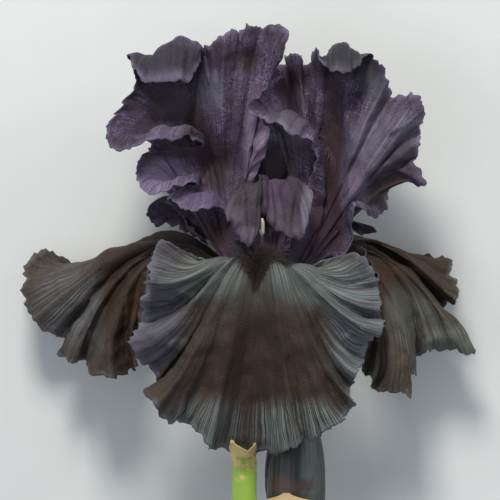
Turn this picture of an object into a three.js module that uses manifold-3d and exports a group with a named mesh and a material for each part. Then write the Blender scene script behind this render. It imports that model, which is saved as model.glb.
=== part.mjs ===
import * as THREE from 'three';
import Module from 'manifold-3d';

// A tall bearded iris, picked with its stem and one bud, lying on its back on a table.
// Millimetres. +X is the flower's right, +Y runs from the stem to the standards, +Z is up.
// Every shape is given from the flower's own middle: x and y there, z above its long axis.

const wasm = await Module();
wasm.setup();

const AXIS_HEIGHT = 31; // the flower's long axis above the table
const CENTRE_X = 4.3; // from the middle of the whole picked flower to the flower's own axis
const CENTRE_Y = 34.9;
const PETAL_THICKNESS = 0.6;
const STYLE_THICKNESS = 0.6;
const SPATHE_THICKNESS = 0.6;

// How finely a petal is cut: along its rim, and from its claw to its rim.
const RIM_STEPS = 48;
const VEIN_STEPS = 6;
const RIM_SAMPLES = 540;
const TOUCHING_GAP = 0.02;

const STALK_X = -5.7; // the stalk stands a little to the left of the flower's axis
const MOUTH_Y = -10.95; // the top of the perianth tube, which the claws stand on
const OVARY_TOP_Y = -60;
const STALK_TOP_Y = -84.3;
const STALK_END_Y = -150;
const STALK_RADIUS = 2.7;
const SHEATHED_RADIUS = 2.1; // of the stalk inside the spathe

const BUD_X = 11.3;
const BUD_Z = -5;
const BUD_RADIUS = 10.3;

const v3 = (x, y, z) => new THREE.Vector3(x, y, z);
const smooth = THREE.MathUtils.smoothstep;

// strips: how many strips a folded petal is made in, so that its tight folds join.
// Each petal is a fan of veins. They leave a narrow claw, and end on a ruffled rim.
// A rim row is x, y, z, and then the pull: from the rim to the handle that its vein comes from.
// A row without a pull gets one that points at the hub and is reach long.
// claw, clawSide: the middle of the claw, and from there to its first edge.
// haft, haftSide, haftArch: where the veins head first, its change to each side, and in the middle.
// haftOver: veins shorter than this keep less of the haft, in proportion.
// spread: how far the ruffles are evened out in the petal's heart. depth: how soon they fade.
const PETALS = {
  fall_front: {
    claw: [0, -10, 6.5],
    clawSide: [-2.4, 0, 0],
    haft: [0, 20, 13],
    haftSide: [-9, 2, 0],
    haftArch: [0, 26, 0],
    hub: [0, -18, 20],
    reach: 22,
    lean: 0.05,
    spread: 14.6,
    depth: 3,
    rim: [
      [-7.5, -3, 8, 4, -8, 0], [-13.5, -0.5, 12, 7, -10, 0], [-21.5, 2.5, 16, 10, -10, -2],
      [-33, 7.5, 19, 10, -7, -10], [-37, 1, 24, 18, -9, -8], [-38.5, -5.5, 29], [-37.5, -8.5, 22],
      [-40, -12.5, 19], [-38.5, -17.5, 12, 22, 0, 4], [-37.5, -20, 9, 22, 1, 4], [-42.5, -21.5, 22],
      [-44.5, -25.5, 27], [-40.5, -31.5, 20, 21, 7, 4], [-35.5, -37.5, 14], [-34.5, -41, 11],
      [-38.5, -43.5, 19], [-36.5, -46.5, 23], [-32, -51.5, 17, 14, 15, 8],
      [-27, -51.5, 10, 13, 16, 8], [-22.5, -54, 13, 11, 18, 8], [-19.5, -59.5, 16, 9, 19, 8],
      [-15.5, -60.5, 8.5, 7, 19, 8], [-12.5, -61.5, 5.6, 6, 20, 8], [-9.5, -62, 5, 4, 19, 11],
      [-5.5, -62, 4.6, 2, 19, 11], [-1.5, -61.5, 4.6, 1, 19, 11], [2.5, -62.5, 7.5, -1, 19, 11],
      [7, -61.5, 10.5, -3, 19, 11], [9.5, -61, 17, -5, 20, 8], [12.5, -59.5, 20, -6, 20, 8],
      [14.5, -58, 13, -7, 19, 8], [19.5, -57, 17, -9, 19, 8], [24.5, -53, 19, -12, 17, 8],
      [29, -49.5, 15], [30.5, -45.5, 19], [30, -41.5, 13], [30.5, -37, 17], [34, -31, 11],
      [36.5, -25.5, 15], [40.5, -21, 25], [39.5, -17.5, 17], [39.5, -13.5, 21],
      [38.5, -6.5, 17, -21, -6, -4], [36, -0.5, 22, -19, -9, -8], [31.5, 3.5, 18, -10, -7, -10],
      [24, 2.5, 15, -10, -9, -2], [14, -1, 12, -8, -9, 0], [8, -3.5, 8, -4, -8, 0],
    ],
  },
  fall_left: {
    claw: [-5.4, -10, -3],
    clawSide: [-1.1, 0, 2.1],
    haft: [-30, 40, -8],
    haftSide: [-2, 0, 6],
    hub: [-44, -5, -16],
    face: [-0.5, 0, 0.87],
    reach: 16,
    spread: 9,
    depth: 2.5,
    rim: [
      [-8.5, -4.5, -2.8, 6, -4, 0], [-17, 2, -2.6, 6, -5, 0], [-26, 6.5, -3, 7, -3, 0],
      [-34, 6.5, -2.5, 7, 4, -2], [-37, 0.5, -1], [-38, -8.5, 2], [-40.5, -18.5, 1],
      [-40.5, -28.5, 3], [-43, -33.5, 5, -6, 15, 0], [-45, -36.5, -3, -4, 16, 1],
      [-48, -37, 3, -4, 15, 1], [-51.5, -37.5, 5, -3, 16, 1], [-55, -36.5, 3, -1, 16, 2],
      [-58, -35, -8, 2, 15, 4], [-59.5, -32.5, -11, 4, 15, 5], [-63.5, -33.5, -5, 4, 15, 5],
      [-68.5, -30, -9, 7, 13, 7], [-65.5, -27.5, -17, 7, 12, 7], [-67.5, -25.5, -18, 8, 11, 8],
      [-70.5, -24, -13], [-75.5, -19.5, -11], [-79.5, -12.5, -12], [-80.5, -5, -15, 14, -4, 0],
      [-79.5, 1, -18, 14, -12, 0], [-74.5, 5, -22, 12, -20, 2], [-69, 3, -27, 8, -22, 4],
      [-63.5, -1, -34, 4, -18, 6], [-57.5, 1, -38, 0, -10, 8], [-49, 3.5, -37, 0, -4, 8],
      [-38, 6.5, -25, 6, -2, 6], [-26, 6.5, -15, 8, -2, 2], [-17, 2.5, -9.5, 6, -5, 1],
      [-8.5, -4.5, -5.6, 6, -4, 0],
    ],
  },
  fall_right: {
    claw: [5.4, -10, -3],
    clawSide: [1.1, 0, 2.1],
    haft: [32, 38, -8],
    haftSide: [2, 0, 6],
    hub: [48, -5, -15],
    face: [0.5, 0, 0.87],
    reach: 16,
    spread: 9,
    depth: 2.5,
    rim: [
      [8.5, -4.5, -2.8, -6, -4, 0], [17, 2, -2.6, -6, -5, 0], [26, 6.5, -3, -7, -3, 0],
      [33.5, 5.5, -2.5, -7, 4, -2], [37.5, -1.5, -1], [37.5, -13.5, 1], [35.5, -23.5, 2],
      [33.5, -31, 2], [33.5, -36.5, 1, 9, 13, -2], [36.5, -38, 5, 8, 13, -2],
      [38.5, -41, 3, 7, 14, -1], [42, -42.5, 7, 7, 14, -1], [46, -43, 5, 5, 15, 0],
      [49, -44, 8, 5, 15, 0], [49, -37.5, 2, 4, 15, 1], [50.5, -35.5, -4, 3, 16, 2],
      [52, -30.5, -9, 1, 16, 3], [55.5, -29.5, -5, 1, 16, 3], [61, -29.5, -8, -3, 15, 5],
      [66, -30, -6, -4, 14, 6], [70.5, -30.5, -8, -6, 13, 7], [71.5, -28.5, -12, -7, 12, 7],
      [66.5, -25.5, -15], [62.5, -20.5, -18], [61, -15.5, -18], [62.5, -13.5, -11],
      [65.5, -12.5, -7], [66.5, -9.5, -11], [64.5, -3.5, -16], [63.5, 2, -21],
      [59.5, 2.5, -26, -10, -6, 4], [55.5, 3.5, -33, -8, -10, 4], [50, 1.5, -42, -4, -10, 6],
      [42.5, 3, -42, 0, -6, 8], [33.5, 5.5, -27, -6, -2, 6], [26, 6.5, -15, -8, -2, 2],
      [17, 2.5, -9.5, -6, -5, 1], [8.5, -4.5, -5.6, -6, -4, 0],
    ],
  },
  standard_left: {
    strips: 8,
    claw: [-5.4, -10, 3],
    clawSide: [1.2, 0, 2],
    haft: [-10, 20, -4],
    haftSide: [3, 1, 0],
    hub: [-14, 20, 0],
    reach: 20,
    lean: 0.08,
    spread: 12.4,
    depth: 2.6,
    rim: [
      [-8, -0.5, 2, -2, 8, 0], [-7.5, 12.5, 1, -7, 8, 0], [-4.5, 23, 1], [0, 35, 5, -13, -14, -7],
      [2.5, 44.5, 12, -6, -8, -17], [-0.5, 51, 6, -8, -17, -7], [1, 56.5, 5.5],
      [3.5, 63.5, 8, -7, -17, -7], [6.5, 70.5, 12, -7, -17, -7], [8.5, 77.5, 14, -7, -18, -7],
      [4.5, 79.5, 9], [0, 79, 5], [-3.5, 80.5, 9], [-8, 78, 5], [-12.5, 77.5, 9], [-16.5, 74.5, 7],
      [-19.5, 70.5, 2], [-21.5, 66.5, -4], [-21, 71, 4, 10, -8, 22], [-21.5, 65.5, 12, 4, 40, -24],
      [-23.5, 61.5, 18, 2, 56, -30], [-28.5, 61, 20, 0, 58, -30], [-34, 60, 20, 0, 56, -30],
      [-39, 60.5, 18, 4, 44, -28], [-44, 68.5, 10, 8, 6, -18], [-41.5, 62.5, 5, 10, 0, -10],
      [-45.5, 55.5, 8, 12, 4, -10], [-49.5, 49.5, 13, 14, 4, -12], [-51.5, 44, 17, 14, 8, -16],
      [-50.5, 38.5, 20, 12, 16, -18], [-44, 38.5, 23, 8, 22, -20], [-38, 40.5, 20, 6, 22, -18],
      [-30.5, 41.5, 15, 4, 20, -12], [-24, 42.5, 9, 4, 16, -6], [-20.5, 39.5, 4, 6, 10, 2],
      [-29, 39, 5, 10, 6, -4], [-39, 37.5, 8, 12, 4, -8], [-42.5, 32.5, 12, 12, 4, -12],
      [-42, 27, 15, 10, 8, -14], [-38.5, 23.5, 17, 6, 12, -16], [-32, 24, 16, 5, 16, -14],
      [-26, 26, 13, 4, 16, -10], [-22, 27, 8, 6, 10, -4], [-28, 24.5, 8, 8, 8, -6],
      [-31.5, 22, 9, 7, 9, -7], [-27.5, 19, 11, 6, 14, -8], [-23.5, 17.5, 13, 4, 18, -10],
      [-18.5, 19, 13, 3, 18, -10], [-14.5, 18.5, 9, 2, 14, -8], [-12, 13, 3, 0, 10, -2],
      [-10, 5, 2, 0, 8, -2],
    ],
  },
  standard_right: {
    claw: [5.4, -10, 3],
    clawSide: [-1.2, 0, 2],
    haft: [15, 18, -4],
    haftSide: [-3, 1, 0],
    hub: [20, 22, 0],
    reach: 20,
    lean: 0.08,
    spread: 11.2,
    depth: 2.6,
    rim: [
      [8.5, -0.5, 3, 4, 7, 0], [11.5, 9, 2, 6, 8, 0], [13.5, 19, 3], [15.5, 28.5, 6],
      [18, 35.5, 10, 4, 14, -8], [13.5, 43.5, 17, 8, 20, -14], [9.5, 43, 19, 8, 22, -14],
      [5.5, 46.5, 18, 8, 22, -14], [1.5, 49, 15, 8, 18, -12], [-4.5, 50.5, 15, 10, 6, -8],
      [-2.5, 55, 14, 8, -4, -6], [1, 58.5, 13, 4, -8, -6], [4.5, 60.5, 6, 2, -8, -6], [6, 64, -3],
      [7, 67, -8], [8.5, 70, -4], [11.5, 70.5, 2], [12.5, 67.5, -4], [16.5, 68, -5], [18, 72.5, 4],
      [20, 67.5, 13, 2, 30, -22], [23.5, 64.5, 19, 0, 40, -30], [28.5, 64.5, 20, 0, 40, -30],
      [32, 66, 16, -4, 34, -26], [35, 70, 9, -8, 0, -8], [37.5, 69.5, 5, -6, -8, -4], [40, 66, 9],
      [41.5, 61, 7], [42.5, 56.5, 3], [45.5, 56.5, 6], [48.5, 58, 10], [52, 55.5, 13], [54, 51, 12],
      [52.5, 47.5, 5], [52.5, 41.5, 9], [51.5, 36.5, 5], [52, 33, 8], [54, 27.5, 12, -10, 4, -6],
      [50, 28, 5, -8, 8, 4], [46, 29.5, 0, -8, 10, 8], [42.5, 25.5, -3, -8, 10, 10],
      [42, 21.5, -4, -8, 12, 10], [42.5, 18.5, -2, -8, 12, 8], [38.5, 16.5, 2, -6, 12, 6],
      [34, 17.5, 5, -4, 12, 2], [31, 19.5, 7, -2, 10, 0], [30.5, 13.5, 6, 0, 8, 0],
      [28.5, 5, 4, 0, 8, 0], [24.5, -0.5, 3, 0, 6, 0],
    ],
  },
  standard_back: {
    claw: [0, -10, -6.4],
    clawSide: [-2.4, 0, 0],
    haft: [0, 10, -10],
    haftSide: [-8, 6, 0],
    hub: [0, 32, -24],
    reach: 20,
    lean: 0.1,
    spread: 6.8,
    depth: 2,
    rim: [
      [-4.5, 1, -10, 1, 8, 0], [-12.5, 10, -15, 5, 9, 0], [-24, 16.5, -20, 16, 10, 7],
      [-32.5, 23.5, -24, 17, 4, 10], [-35.5, 31.5, -20, 20, 0, 3], [-37.5, 38.5, -24],
      [-34, 45.5, -19], [-35.5, 52.5, -22], [-30, 57.5, -17, 14, -12, -7],
      [-27.5, 63, -21, 12, -14, -7], [-21.5, 64.5, -16, 10, -16, -7], [-16, 68.5, -20, 8, -17, -7],
      [-10, 66.5, -15, 5, -18, -7], [-4, 69, -18, 2, -17, -10], [2, 67, -14, -1, -17, -10],
      [8.5, 66.5, -16, -4, -17, -10], [12.5, 65, -19, -6, -16, -10], [18.5, 65.5, -21, -9, -16, -7],
      [22.5, 61.5, -17, -11, -15, -7], [27.5, 61, -21, -13, -14, -7], [30, 55, -17], [34.5, 50, -22],
      [32.5, 43.5, -18], [36, 36.5, -24], [33.5, 29, -20, -20, 2, 3], [31, 21.5, -23, -16, 5, 10],
      [22.5, 15.5, -20, -15, 11, 7], [12, 9, -15, -5, 9, 0], [4.5, 1, -10, -1, 8, 0],
    ],
  },
};

// The style arms are small fans too: a strap from the tube that ends in two crests.
const STYLE_ARMS = {
  style_arm_front: {
    strips: 3,
    claw: [0, -10, 2.4],
    clawSide: [-1.6, 0, 0],
    haft: [0, 35, 6],
    haftSide: [-9, 0, 0],
    haftOver: 12,
    hub: [0, 20, 4],
    reach: 8,
    spread: 3.4,
    depth: 3,
    rim: [
      [-2.5, 9, 9, 0, 20, -3], [-5.5, 15, 12, 4, 20, -5], [-10, 19.5, 15, 8, 20, -7],
      [-12.5, 17.5, 17, 10, 22, -8], [-9.5, 13, 17, 9, 28, -8], [-7, 9, 18, 7, 34, -9],
      [-4.5, 5.5, 19, 5, 40, -10], [-1.5, 10.5, 16, 3, 36, -9], [-0.5, 17.5, 11, 0, 27, -5],
      [1.5, 17.5, 11, 0, 27, -5], [4.5, 12, 15, -3, 32, -8], [9.5, 9.5, 17, -5, 37, -9],
      [12.5, 7.5, 18, -6, 40, -10], [14.5, 13, 18, -7, 30, -8], [16.5, 20.5, 17, -8, 20, -7],
      [16.5, 25, 15, -9, 10, -5], [12, 21.5, 12, -5, 14, -5], [6, 15.5, 10, -2, 20, -4],
      [2.5, 9, 9, 0, 20, -3],
    ],
  },
  style_arm_left: {
    strips: 3,
    claw: [-2.1, -10, -1.2],
    clawSide: [0.8, 0, 1.4],
    haft: [-10, 28, -4],
    haftSide: [0, 0, 5],
    haftOver: 12,
    hub: [-22, 12, -10],
    face: [-0.5, 0, 0.87],
    reach: 8,
    spread: 3.4,
    depth: 3,
    rim: [
      [-16.5, 7.5, -4], [-22, 11.5, -5], [-26.5, 16.5, -7], [-30.5, 20.5, -9],
      [-34.5, 22.5, -12, 6, 4, 0], [-38, 19.5, -13, 8, 6, 0], [-38.5, 15.5, -14, 9, 8, 0],
      [-36.5, 12.5, -15, 9, 8, 0], [-32.5, 13.5, -14, 6, 8, 0], [-28.5, 13, -12, 4, 8, 0],
      [-23.5, 9.5, -10], [-18, 6.5, -8],
    ],
  },
  style_arm_right: {
    strips: 6,
    claw: [2.1, -10, -1.2],
    clawSide: [-0.8, 0, 1.4],
    haft: [10, 27, -4],
    haftSide: [0, 0, 5],
    haftOver: 12,
    hub: [24, 10, -8],
    face: [0.5, 0, 0.87],
    reach: 8,
    spread: 3.4,
    depth: 3,
    rim: [
      [16.5, 6.5, -3], [21.5, 10.5, -2], [27.5, 13.5, -2], [32, 14, -4, -6, 4, 0],
      [36, 13, -6, -8, 4, 0], [38, 11.5, -6, -9, 5, 0], [34.5, 10, -6, -7, 7, 0],
      [30, 11.5, -6, -5, 6, 0], [25.5, 10.5, -6], [19.5, 6.5, -5],
    ],
  },
};

// Rim point and pull of every row, in one list of six numbers.
function rimRows(petal) {
  const hub = v3(...petal.hub);
  const face = v3(...(petal.face ?? [0, 0, 1])).normalize();
  return petal.rim.map((row) => {
    if (row.length === 6) return row;
    const outward = v3(...row).sub(hub).projectOnPlane(face).normalize();
    return [...row, ...outward.multiplyScalar(-petal.reach).toArray()];
  });
}

// A centripetal Catmull-Rom curve through rows of numbers. The first three set the spacing.
function curveThrough(rows, count) {
  const gaps = [];
  const knots = [0];
  for (let i = 0; i < rows.length - 1; i++) {
    gaps.push(Math.sqrt(v3(...rows[i]).distanceTo(v3(...rows[i + 1]))));
    knots.push(knots[i] + gaps[i]);
  }
  const last = rows.length - 1;
  const slopes = rows.map((row, i) => row.map((value, k) => {
    if (i === 0) return (rows[1][k] - value) / gaps[0];
    if (i === last) return (value - rows[last - 1][k]) / gaps[last - 1];
    const before = (value - rows[i - 1][k]) / gaps[i - 1];
    const after = (rows[i + 1][k] - value) / gaps[i];
    return before - (rows[i + 1][k] - rows[i - 1][k]) / (gaps[i - 1] + gaps[i]) + after;
  }));
  const points = [];
  let i = 0;
  for (let n = 0; n <= count; n++) {
    const u = (knots[last] * n) / count;
    while (i < last - 1 && u > knots[i + 1]) i++;
    const h = gaps[i];
    const s = (u - knots[i]) / h;
    points.push(rows[i].map((value, k) => (2 * s ** 3 - 3 * s ** 2 + 1) * value
      + (s ** 3 - 2 * s ** 2 + s) * h * slopes[i][k]
      + (-2 * s ** 3 + 3 * s ** 2) * rows[i + 1][k]
      + (s ** 3 - s ** 2) * h * slopes[i + 1][k]));
  }
  return points;
}

// The same points evened out by a bell curve, but left alone at both ends.
function evenOut(points, spread) {
  const reach = Math.ceil(3 * spread);
  const last = points.length - 1;
  const at = (i, k) => {
    if (i < 0) return 2 * points[0][k] - points[-i][k];
    if (i > last) return 2 * points[last][k] - points[2 * last - i][k];
    return points[i][k];
  };
  return points.map((point, i) => point.map((value, k) => {
    let sum = 0;
    let weight = 0;
    for (let j = -reach; j <= reach; j++) {
      const w = Math.exp(-0.5 * (j / spread) ** 2);
      sum += w * at(i + j, k);
      weight += w;
    }
    const hold = Math.exp(-Math.min(i, last - i) / (0.5 * spread));
    return value * hold + (sum / weight) * (1 - hold);
  }));
}

// The middle surface of a petal: across goes round the rim from 0 to 1, along from claw to rim.
function fan(petal) {
  const edge = curveThrough(rimRows(petal), RIM_SAMPLES);
  const heart = evenOut(edge, petal.spread);
  const claw = v3(...petal.claw);
  const clawSide = v3(...petal.clawSide);
  const haft = v3(...petal.haft);
  const haftSide = v3(...petal.haftSide);
  const haftArch = v3(...(petal.haftArch ?? [0, 0, 0]));
  return (across, along) => {
    const n = Math.round(across * RIM_SAMPLES);
    const side = 1 - 2 * across;
    const rim = v3(...edge[n]);
    const inner = v3(...heart[n]);
    const start = claw.clone().addScaledVector(clawSide, side);
    const ease = Math.min(start.distanceTo(inner) / (petal.haftOver ?? haft.length()), 1);
    const first = start.clone().addScaledVector(haft, ease).addScaledVector(haftSide, ease * side);
    first.addScaledVector(haftArch, ease * (1 - side * side) ** 2);
    first.addScaledVector(inner.clone().sub(start), petal.lean ?? 0);
    const second = inner.clone().add(v3(...heart[n].slice(3)));
    const point = v3(0, 0, 0);
    point.addScaledVector(start, (1 - along) ** 3);
    point.addScaledVector(first, 3 * (1 - along) ** 2 * along);
    point.addScaledVector(second, 3 * (1 - along) * along ** 2);
    point.addScaledVector(inner, along ** 3);
    point.addScaledVector(rim.sub(inner), along ** petal.depth);
    // What would sink into the table lies flat on it.
    const lowest = PETAL_THICKNESS / 2 - AXIS_HEIGHT;
    point.z = Math.max(point.z, lowest);
    return point;
  };
}

// A closed solid from its corners and faces.
function solidFrom(corners, faces) {
  const geometry = new THREE.BufferGeometry();
  const place = v3(CENTRE_X, CENTRE_Y, AXIS_HEIGHT);
  const positions = corners.flatMap((p) => p.clone().add(place).toArray());
  geometry.setAttribute('position', new THREE.Float32BufferAttribute(positions, 3));
  geometry.setIndex(faces.flat());
  return geometry;
}

// A blade of even thickness about a middle surface. Both faces are cut into triangles alike.
// It is made in strips and joined, so that a tight fold closes into one solid.
function blade(surface, acrossSteps, alongSteps, thickness, strips = 1) {
  const grid = [];
  for (let i = 0; i <= acrossSteps; i++) {
    grid.push([]);
    for (let j = 0; j <= alongSteps; j++) grid[i].push(surface(i / acrossSteps, j / alongSteps));
  }
  const normal = (i, j) => {
    const left = grid[Math.max(i - 1, 0)][j];
    const right = grid[Math.min(i + 1, acrossSteps)][j];
    const below = grid[i][Math.max(j - 1, 0)];
    const above = grid[i][Math.min(j + 1, alongSteps)];
    const out = right.clone().sub(left).cross(above.clone().sub(below)).normalize();
    // Where the blade lies on the table both its faces are level.
    const lies = grid[i][j].z < thickness / 2 - AXIS_HEIGHT + 0.001;
    return lies ? v3(0, 0, Math.sign(out.z)) : out;
  };
  const row = alongSteps + 1;
  const strip = (from, to) => {
    const corners = [];
    const faces = [];
    const wide = to - from;
    const back = (wide + 1) * row;
    for (const half of [thickness / 2, -thickness / 2]) {
      for (let i = from; i <= to; i++) {
        for (let j = 0; j <= alongSteps; j++) {
          corners.push(grid[i][j].clone().addScaledVector(normal(i, j), half));
        }
      }
    }
    for (let i = 0; i < wide; i++) {
      for (let j = 0; j < alongSteps; j++) {
        const a = i * row + j;
        const b = a + row;
        faces.push([a, b, b + 1], [a, b + 1, a + 1]);
        faces.push([back + a, back + b + 1, back + b], [back + a, back + a + 1, back + b + 1]);
      }
    }
    const outline = [];
    for (let i = 0; i <= wide; i++) outline.push(i * row);
    for (let j = 1; j <= alongSteps; j++) outline.push(wide * row + j);
    for (let i = wide - 1; i >= 0; i--) outline.push(i * row + alongSteps);
    for (let j = alongSteps - 1; j > 0; j--) outline.push(j);
    outline.forEach((a, n) => {
      const b = outline[(n + 1) % outline.length];
      faces.push([a, back + a, back + b], [a, back + b, b]);
    });
    return solidFrom(corners, faces);
  };
  if (strips === 1) return strip(0, acrossSteps);
  const wide = acrossSteps / strips;
  const parts = [];
  for (let n = 0; n < strips; n++) parts.push(strip(n * wide, (n + 1) * wide));
  return grownTogether(parts);
}

// A round limb along a path. radius(along, angle) shapes it; both ends are closed.
function limb(path, radius, alongSteps, sides) {
  const corners = [];
  const faces = [];
  for (let i = 0; i <= alongSteps; i++) {
    const along = i / alongSteps;
    const centre = path.getPoint(along);
    const tangent = path.getTangent(along);
    const right = v3(1, 0, 0).projectOnPlane(tangent).normalize();
    const up = right.clone().cross(tangent);
    for (let k = 0; k < sides; k++) {
      const angle = (2 * Math.PI * k) / sides;
      const r = radius(along, angle);
      const spoke = right.clone().multiplyScalar(r * Math.cos(angle));
      corners.push(centre.clone().add(spoke).addScaledVector(up, r * Math.sin(angle)));
    }
  }
  const first = corners.push(path.getPoint(0)) - 1;
  const last = corners.push(path.getPoint(1)) - 1;
  const end = alongSteps * sides;
  for (let k = 0; k < sides; k++) {
    const next = (k + 1) % sides;
    faces.push([first, k, next], [last, end + next, end + k]);
    for (let i = 0; i < alongSteps; i++) {
      const a = i * sides + k;
      const b = i * sides + next;
      faces.push([a, a + sides, b + sides], [a, b + sides, b]);
    }
  }
  return solidFrom(corners, faces);
}

const curve = (...points) => new THREE.CatmullRomCurve3(points.map((p) => v3(...p)));

// Where folds only touch, each corner is drawn a little way towards its own neighbours.
function drawnApart(positions, faces) {
  const corner = (n) => v3().fromArray(positions, 3 * n);
  const neighbours = Array.from({ length: positions.length / 3 }, () => []);
  const touching = new Map();
  for (let n = 0; n < faces.length; n += 3) {
    const [a, b, c] = faces.slice(n, n + 3);
    neighbours[a].push(b, c);
    neighbours[b].push(c, a);
    neighbours[c].push(a, b);
  }
  neighbours.forEach((_, n) => {
    const place = corner(n).toArray().map((value) => value.toFixed(3)).join();
    touching.set(place, [...touching.get(place) ?? [], n]);
  });
  for (const same of touching.values()) {
    const moves = same.map((n) => {
      const middle = v3();
      neighbours[n].forEach((m) => middle.add(corner(m)));
      return middle.divideScalar(neighbours[n].length).sub(corner(n)).setLength(TOUCHING_GAP);
    });
    if (same.length > 1) same.forEach((n, k) => corner(n).add(moves[k]).toArray(positions, 3 * n));
  }
}

// Solids that grew as one are joined into one.
function grownTogether(geometries) {
  const solids = geometries.map((geometry) => new wasm.Manifold(new wasm.Mesh({
    numProp: 3,
    vertProperties: geometry.attributes.position.array,
    triVerts: new Uint32Array(geometry.index.array),
  })));
  // A pocket that a fold has closed off is left filled.
  const joined = solids.reduce((sum, solid) => sum.add(solid)).simplify(0.3).decompose();
  const mesh = joined.sort((a, b) => b.volume() - a.volume())[0].getMesh();
  drawnApart(mesh.vertProperties, [...mesh.triVerts]);
  const geometry = new THREE.BufferGeometry();
  const positions = new THREE.BufferAttribute(new Float32Array(mesh.vertProperties), 3);
  geometry.setAttribute('position', positions);
  geometry.setIndex([...mesh.triVerts]);
  return geometry;
}

const flower = new THREE.Group();
flower.name = 'bearded_iris';

function add(name, geometry, colour, roughness) {
  const material = new THREE.MeshStandardMaterial({ color: colour, roughness, metalness: 0 });
  geometry.computeVertexNormals();
  const mesh = new THREE.Mesh(geometry, material);
  mesh.name = name;
  flower.add(mesh);
}

const FALL_COLOUR = 0x1d1b22;
const STANDARD_COLOUR = 0x2a2233;
const STYLE_COLOUR = 0x4a3d56;
const BEARD_COLOUR = 0x241a1c;
const POLLEN_COLOUR = 0xd8cba2;
const TUBE_COLOUR = 0x4a4a30;
const GREEN_COLOUR = 0x7f9a45;
const PAPERY_COLOUR = 0xa89a58;
const BUD_COLOUR = 0x1c1c28;

for (const [name, petal] of Object.entries(PETALS)) {
  const colour = name.startsWith('fall') ? FALL_COLOUR : STANDARD_COLOUR;
  add(name, blade(fan(petal), RIM_STEPS, VEIN_STEPS, PETAL_THICKNESS, petal.strips), colour, 0.6);
}
for (const [name, arm] of Object.entries(STYLE_ARMS)) {
  add(name, blade(fan(arm), 18, 5, STYLE_THICKNESS, arm.strips), STYLE_COLOUR, 0.5);
}

// A beard is a soft ridge on the middle vein of a fall, with hairs whose roots sink into it.
const BEARDS = {
  beard_front: { fall: 'fall_front', across: 0.5, from: 0.2, to: 0.38, width: 1.9, hairs: 21 },
  beard_left: { fall: 'fall_left', across: 0.47, from: 0.2, to: 0.4, width: 1.5, hairs: 18 },
  beard_right: { fall: 'fall_right', across: 0.5, from: 0.2, to: 0.4, width: 1.5, hairs: 18 },
};
const HAIR_LENGTH = 3.6;
const HAIR_RADIUS = 0.32;
const BEARD_LIFT = 1.75; // from the middle of the fall's blade to the middle of the ridge

function seededRandom(seed) {
  let state = seed;
  return () => {
    state = (state * 1664525 + 1013904223) % 4294967296;
    return state / 4294967296;
  };
}

function beard({ fall, across, from, to, width, hairs }, seed) {
  const surface = fan(PETALS[fall]);
  const outward = (along) => {
    const near = surface(across - 0.05, along).sub(surface(across + 0.05, along));
    const ahead = surface(across, along + 0.02).sub(surface(across, along - 0.02));
    const normal = near.cross(ahead).normalize();
    return normal.dot(v3(0, 1, 1)) < 0 ? normal.negate() : normal;
  };
  const ridge = (u) => {
    const along = from + (to - from) * u;
    return surface(across, along).addScaledVector(outward(along), BEARD_LIFT);
  };
  const path = new THREE.CatmullRomCurve3([0, 0.5, 1].map(ridge));
  const swell = (u) => 0.9 * Math.sqrt(Math.max(1 - (2 * u - 1) ** 4, 0.08));
  const pieces = [limb(path, swell, 7, 8)];
  const random = seededRandom(seed);
  for (let n = 0; n < hairs; n++) {
    const u = 0.04 + 0.92 * ((n + random()) / hairs);
    const root = path.getPoint(u);
    const tangent = path.getTangent(u);
    const normal = outward(from + (to - from) * u);
    const sideways = tangent.clone().cross(normal);
    const lean = (random() - 0.5) * width;
    const tip = root.clone().addScaledVector(normal, HAIR_LENGTH * (0.7 + 0.3 * random()));
    tip.addScaledVector(sideways, 2.2 * lean);
    tip.addScaledVector(tangent, 1.6 * (random() - 0.5));
    const hair = new THREE.CatmullRomCurve3([root, root.clone().lerp(tip, 0.5), tip]);
    pieces.push(limb(hair, (along) => HAIR_RADIUS * (1.05 - along), 1, 3));
  }
  return grownTogether(pieces);
}

Object.entries(BEARDS).forEach(([name, spec], n) => {
  add(name, beard(spec, 11 + n), BEARD_COLOUR, 0.9);
});

// Stamens: a thread from the tube and a long pollen sac, one under each style arm.
const stamenRadius = (along) => {
  const sac = smooth(along, 0.68, 0.76) * (1 - smooth(along, 0.92, 1));
  return 0.5 + 0.5 * sac;
};
add('stamen_front', limb(curve([0, -10.3, 4.6], [0, 0, 7], [0, 6, 9.8], [0, 11, 12.2],
  [0, 15.6, 12.6]), stamenRadius, 10, 6), POLLEN_COLOUR, 0.8);
add('stamen_left', limb(curve([-3.9, -10.3, -2.2], [-6.5, -4, -3.4], [-11.5, 2.6, -5.2],
  [-16.5, 5.8, -7.4]), stamenRadius, 10, 6), POLLEN_COLOUR, 0.8);
add('stamen_right', limb(curve([3.9, -10.3, -2.2], [6.5, -4, -3.4], [11.5, 2.6, -5.2],
  [15.5, 4.8, -7.2]), stamenRadius, 10, 6), POLLEN_COLOUR, 0.8);

// The perianth tube widens into the mouth that carries the petals; the ovary swells below it.
const tubePath = curve([0, MOUTH_Y, 0], [-0.8, -24, 0], [-3.4, -42, 0], [STALK_X, OVARY_TOP_Y, 0]);
const tubeRadius = (along, angle) => {
  const mouth = 4.8 * (1 - smooth(along, 0, 0.3)) ** 2;
  return (2.5 + mouth) * (1 + 0.05 * Math.cos(6 * angle));
};
add('perianth_tube', limb(tubePath, tubeRadius, 11, 16), TUBE_COLOUR, 0.6);
const ovaryPath = curve([STALK_X, OVARY_TOP_Y - 0.7, 0], [STALK_X, -72, 0],
  [STALK_X, STALK_TOP_Y + 0.5, 0]);
const ovaryRadius = (along, angle) => {
  const swell = 1.85 + 0.35 * Math.sin(Math.PI * along);
  return swell * (1 + 0.07 * Math.cos(3 * angle));
};
add('ovary', limb(ovaryPath, ovaryRadius, 7, 16), GREEN_COLOUR, 0.6);

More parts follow.
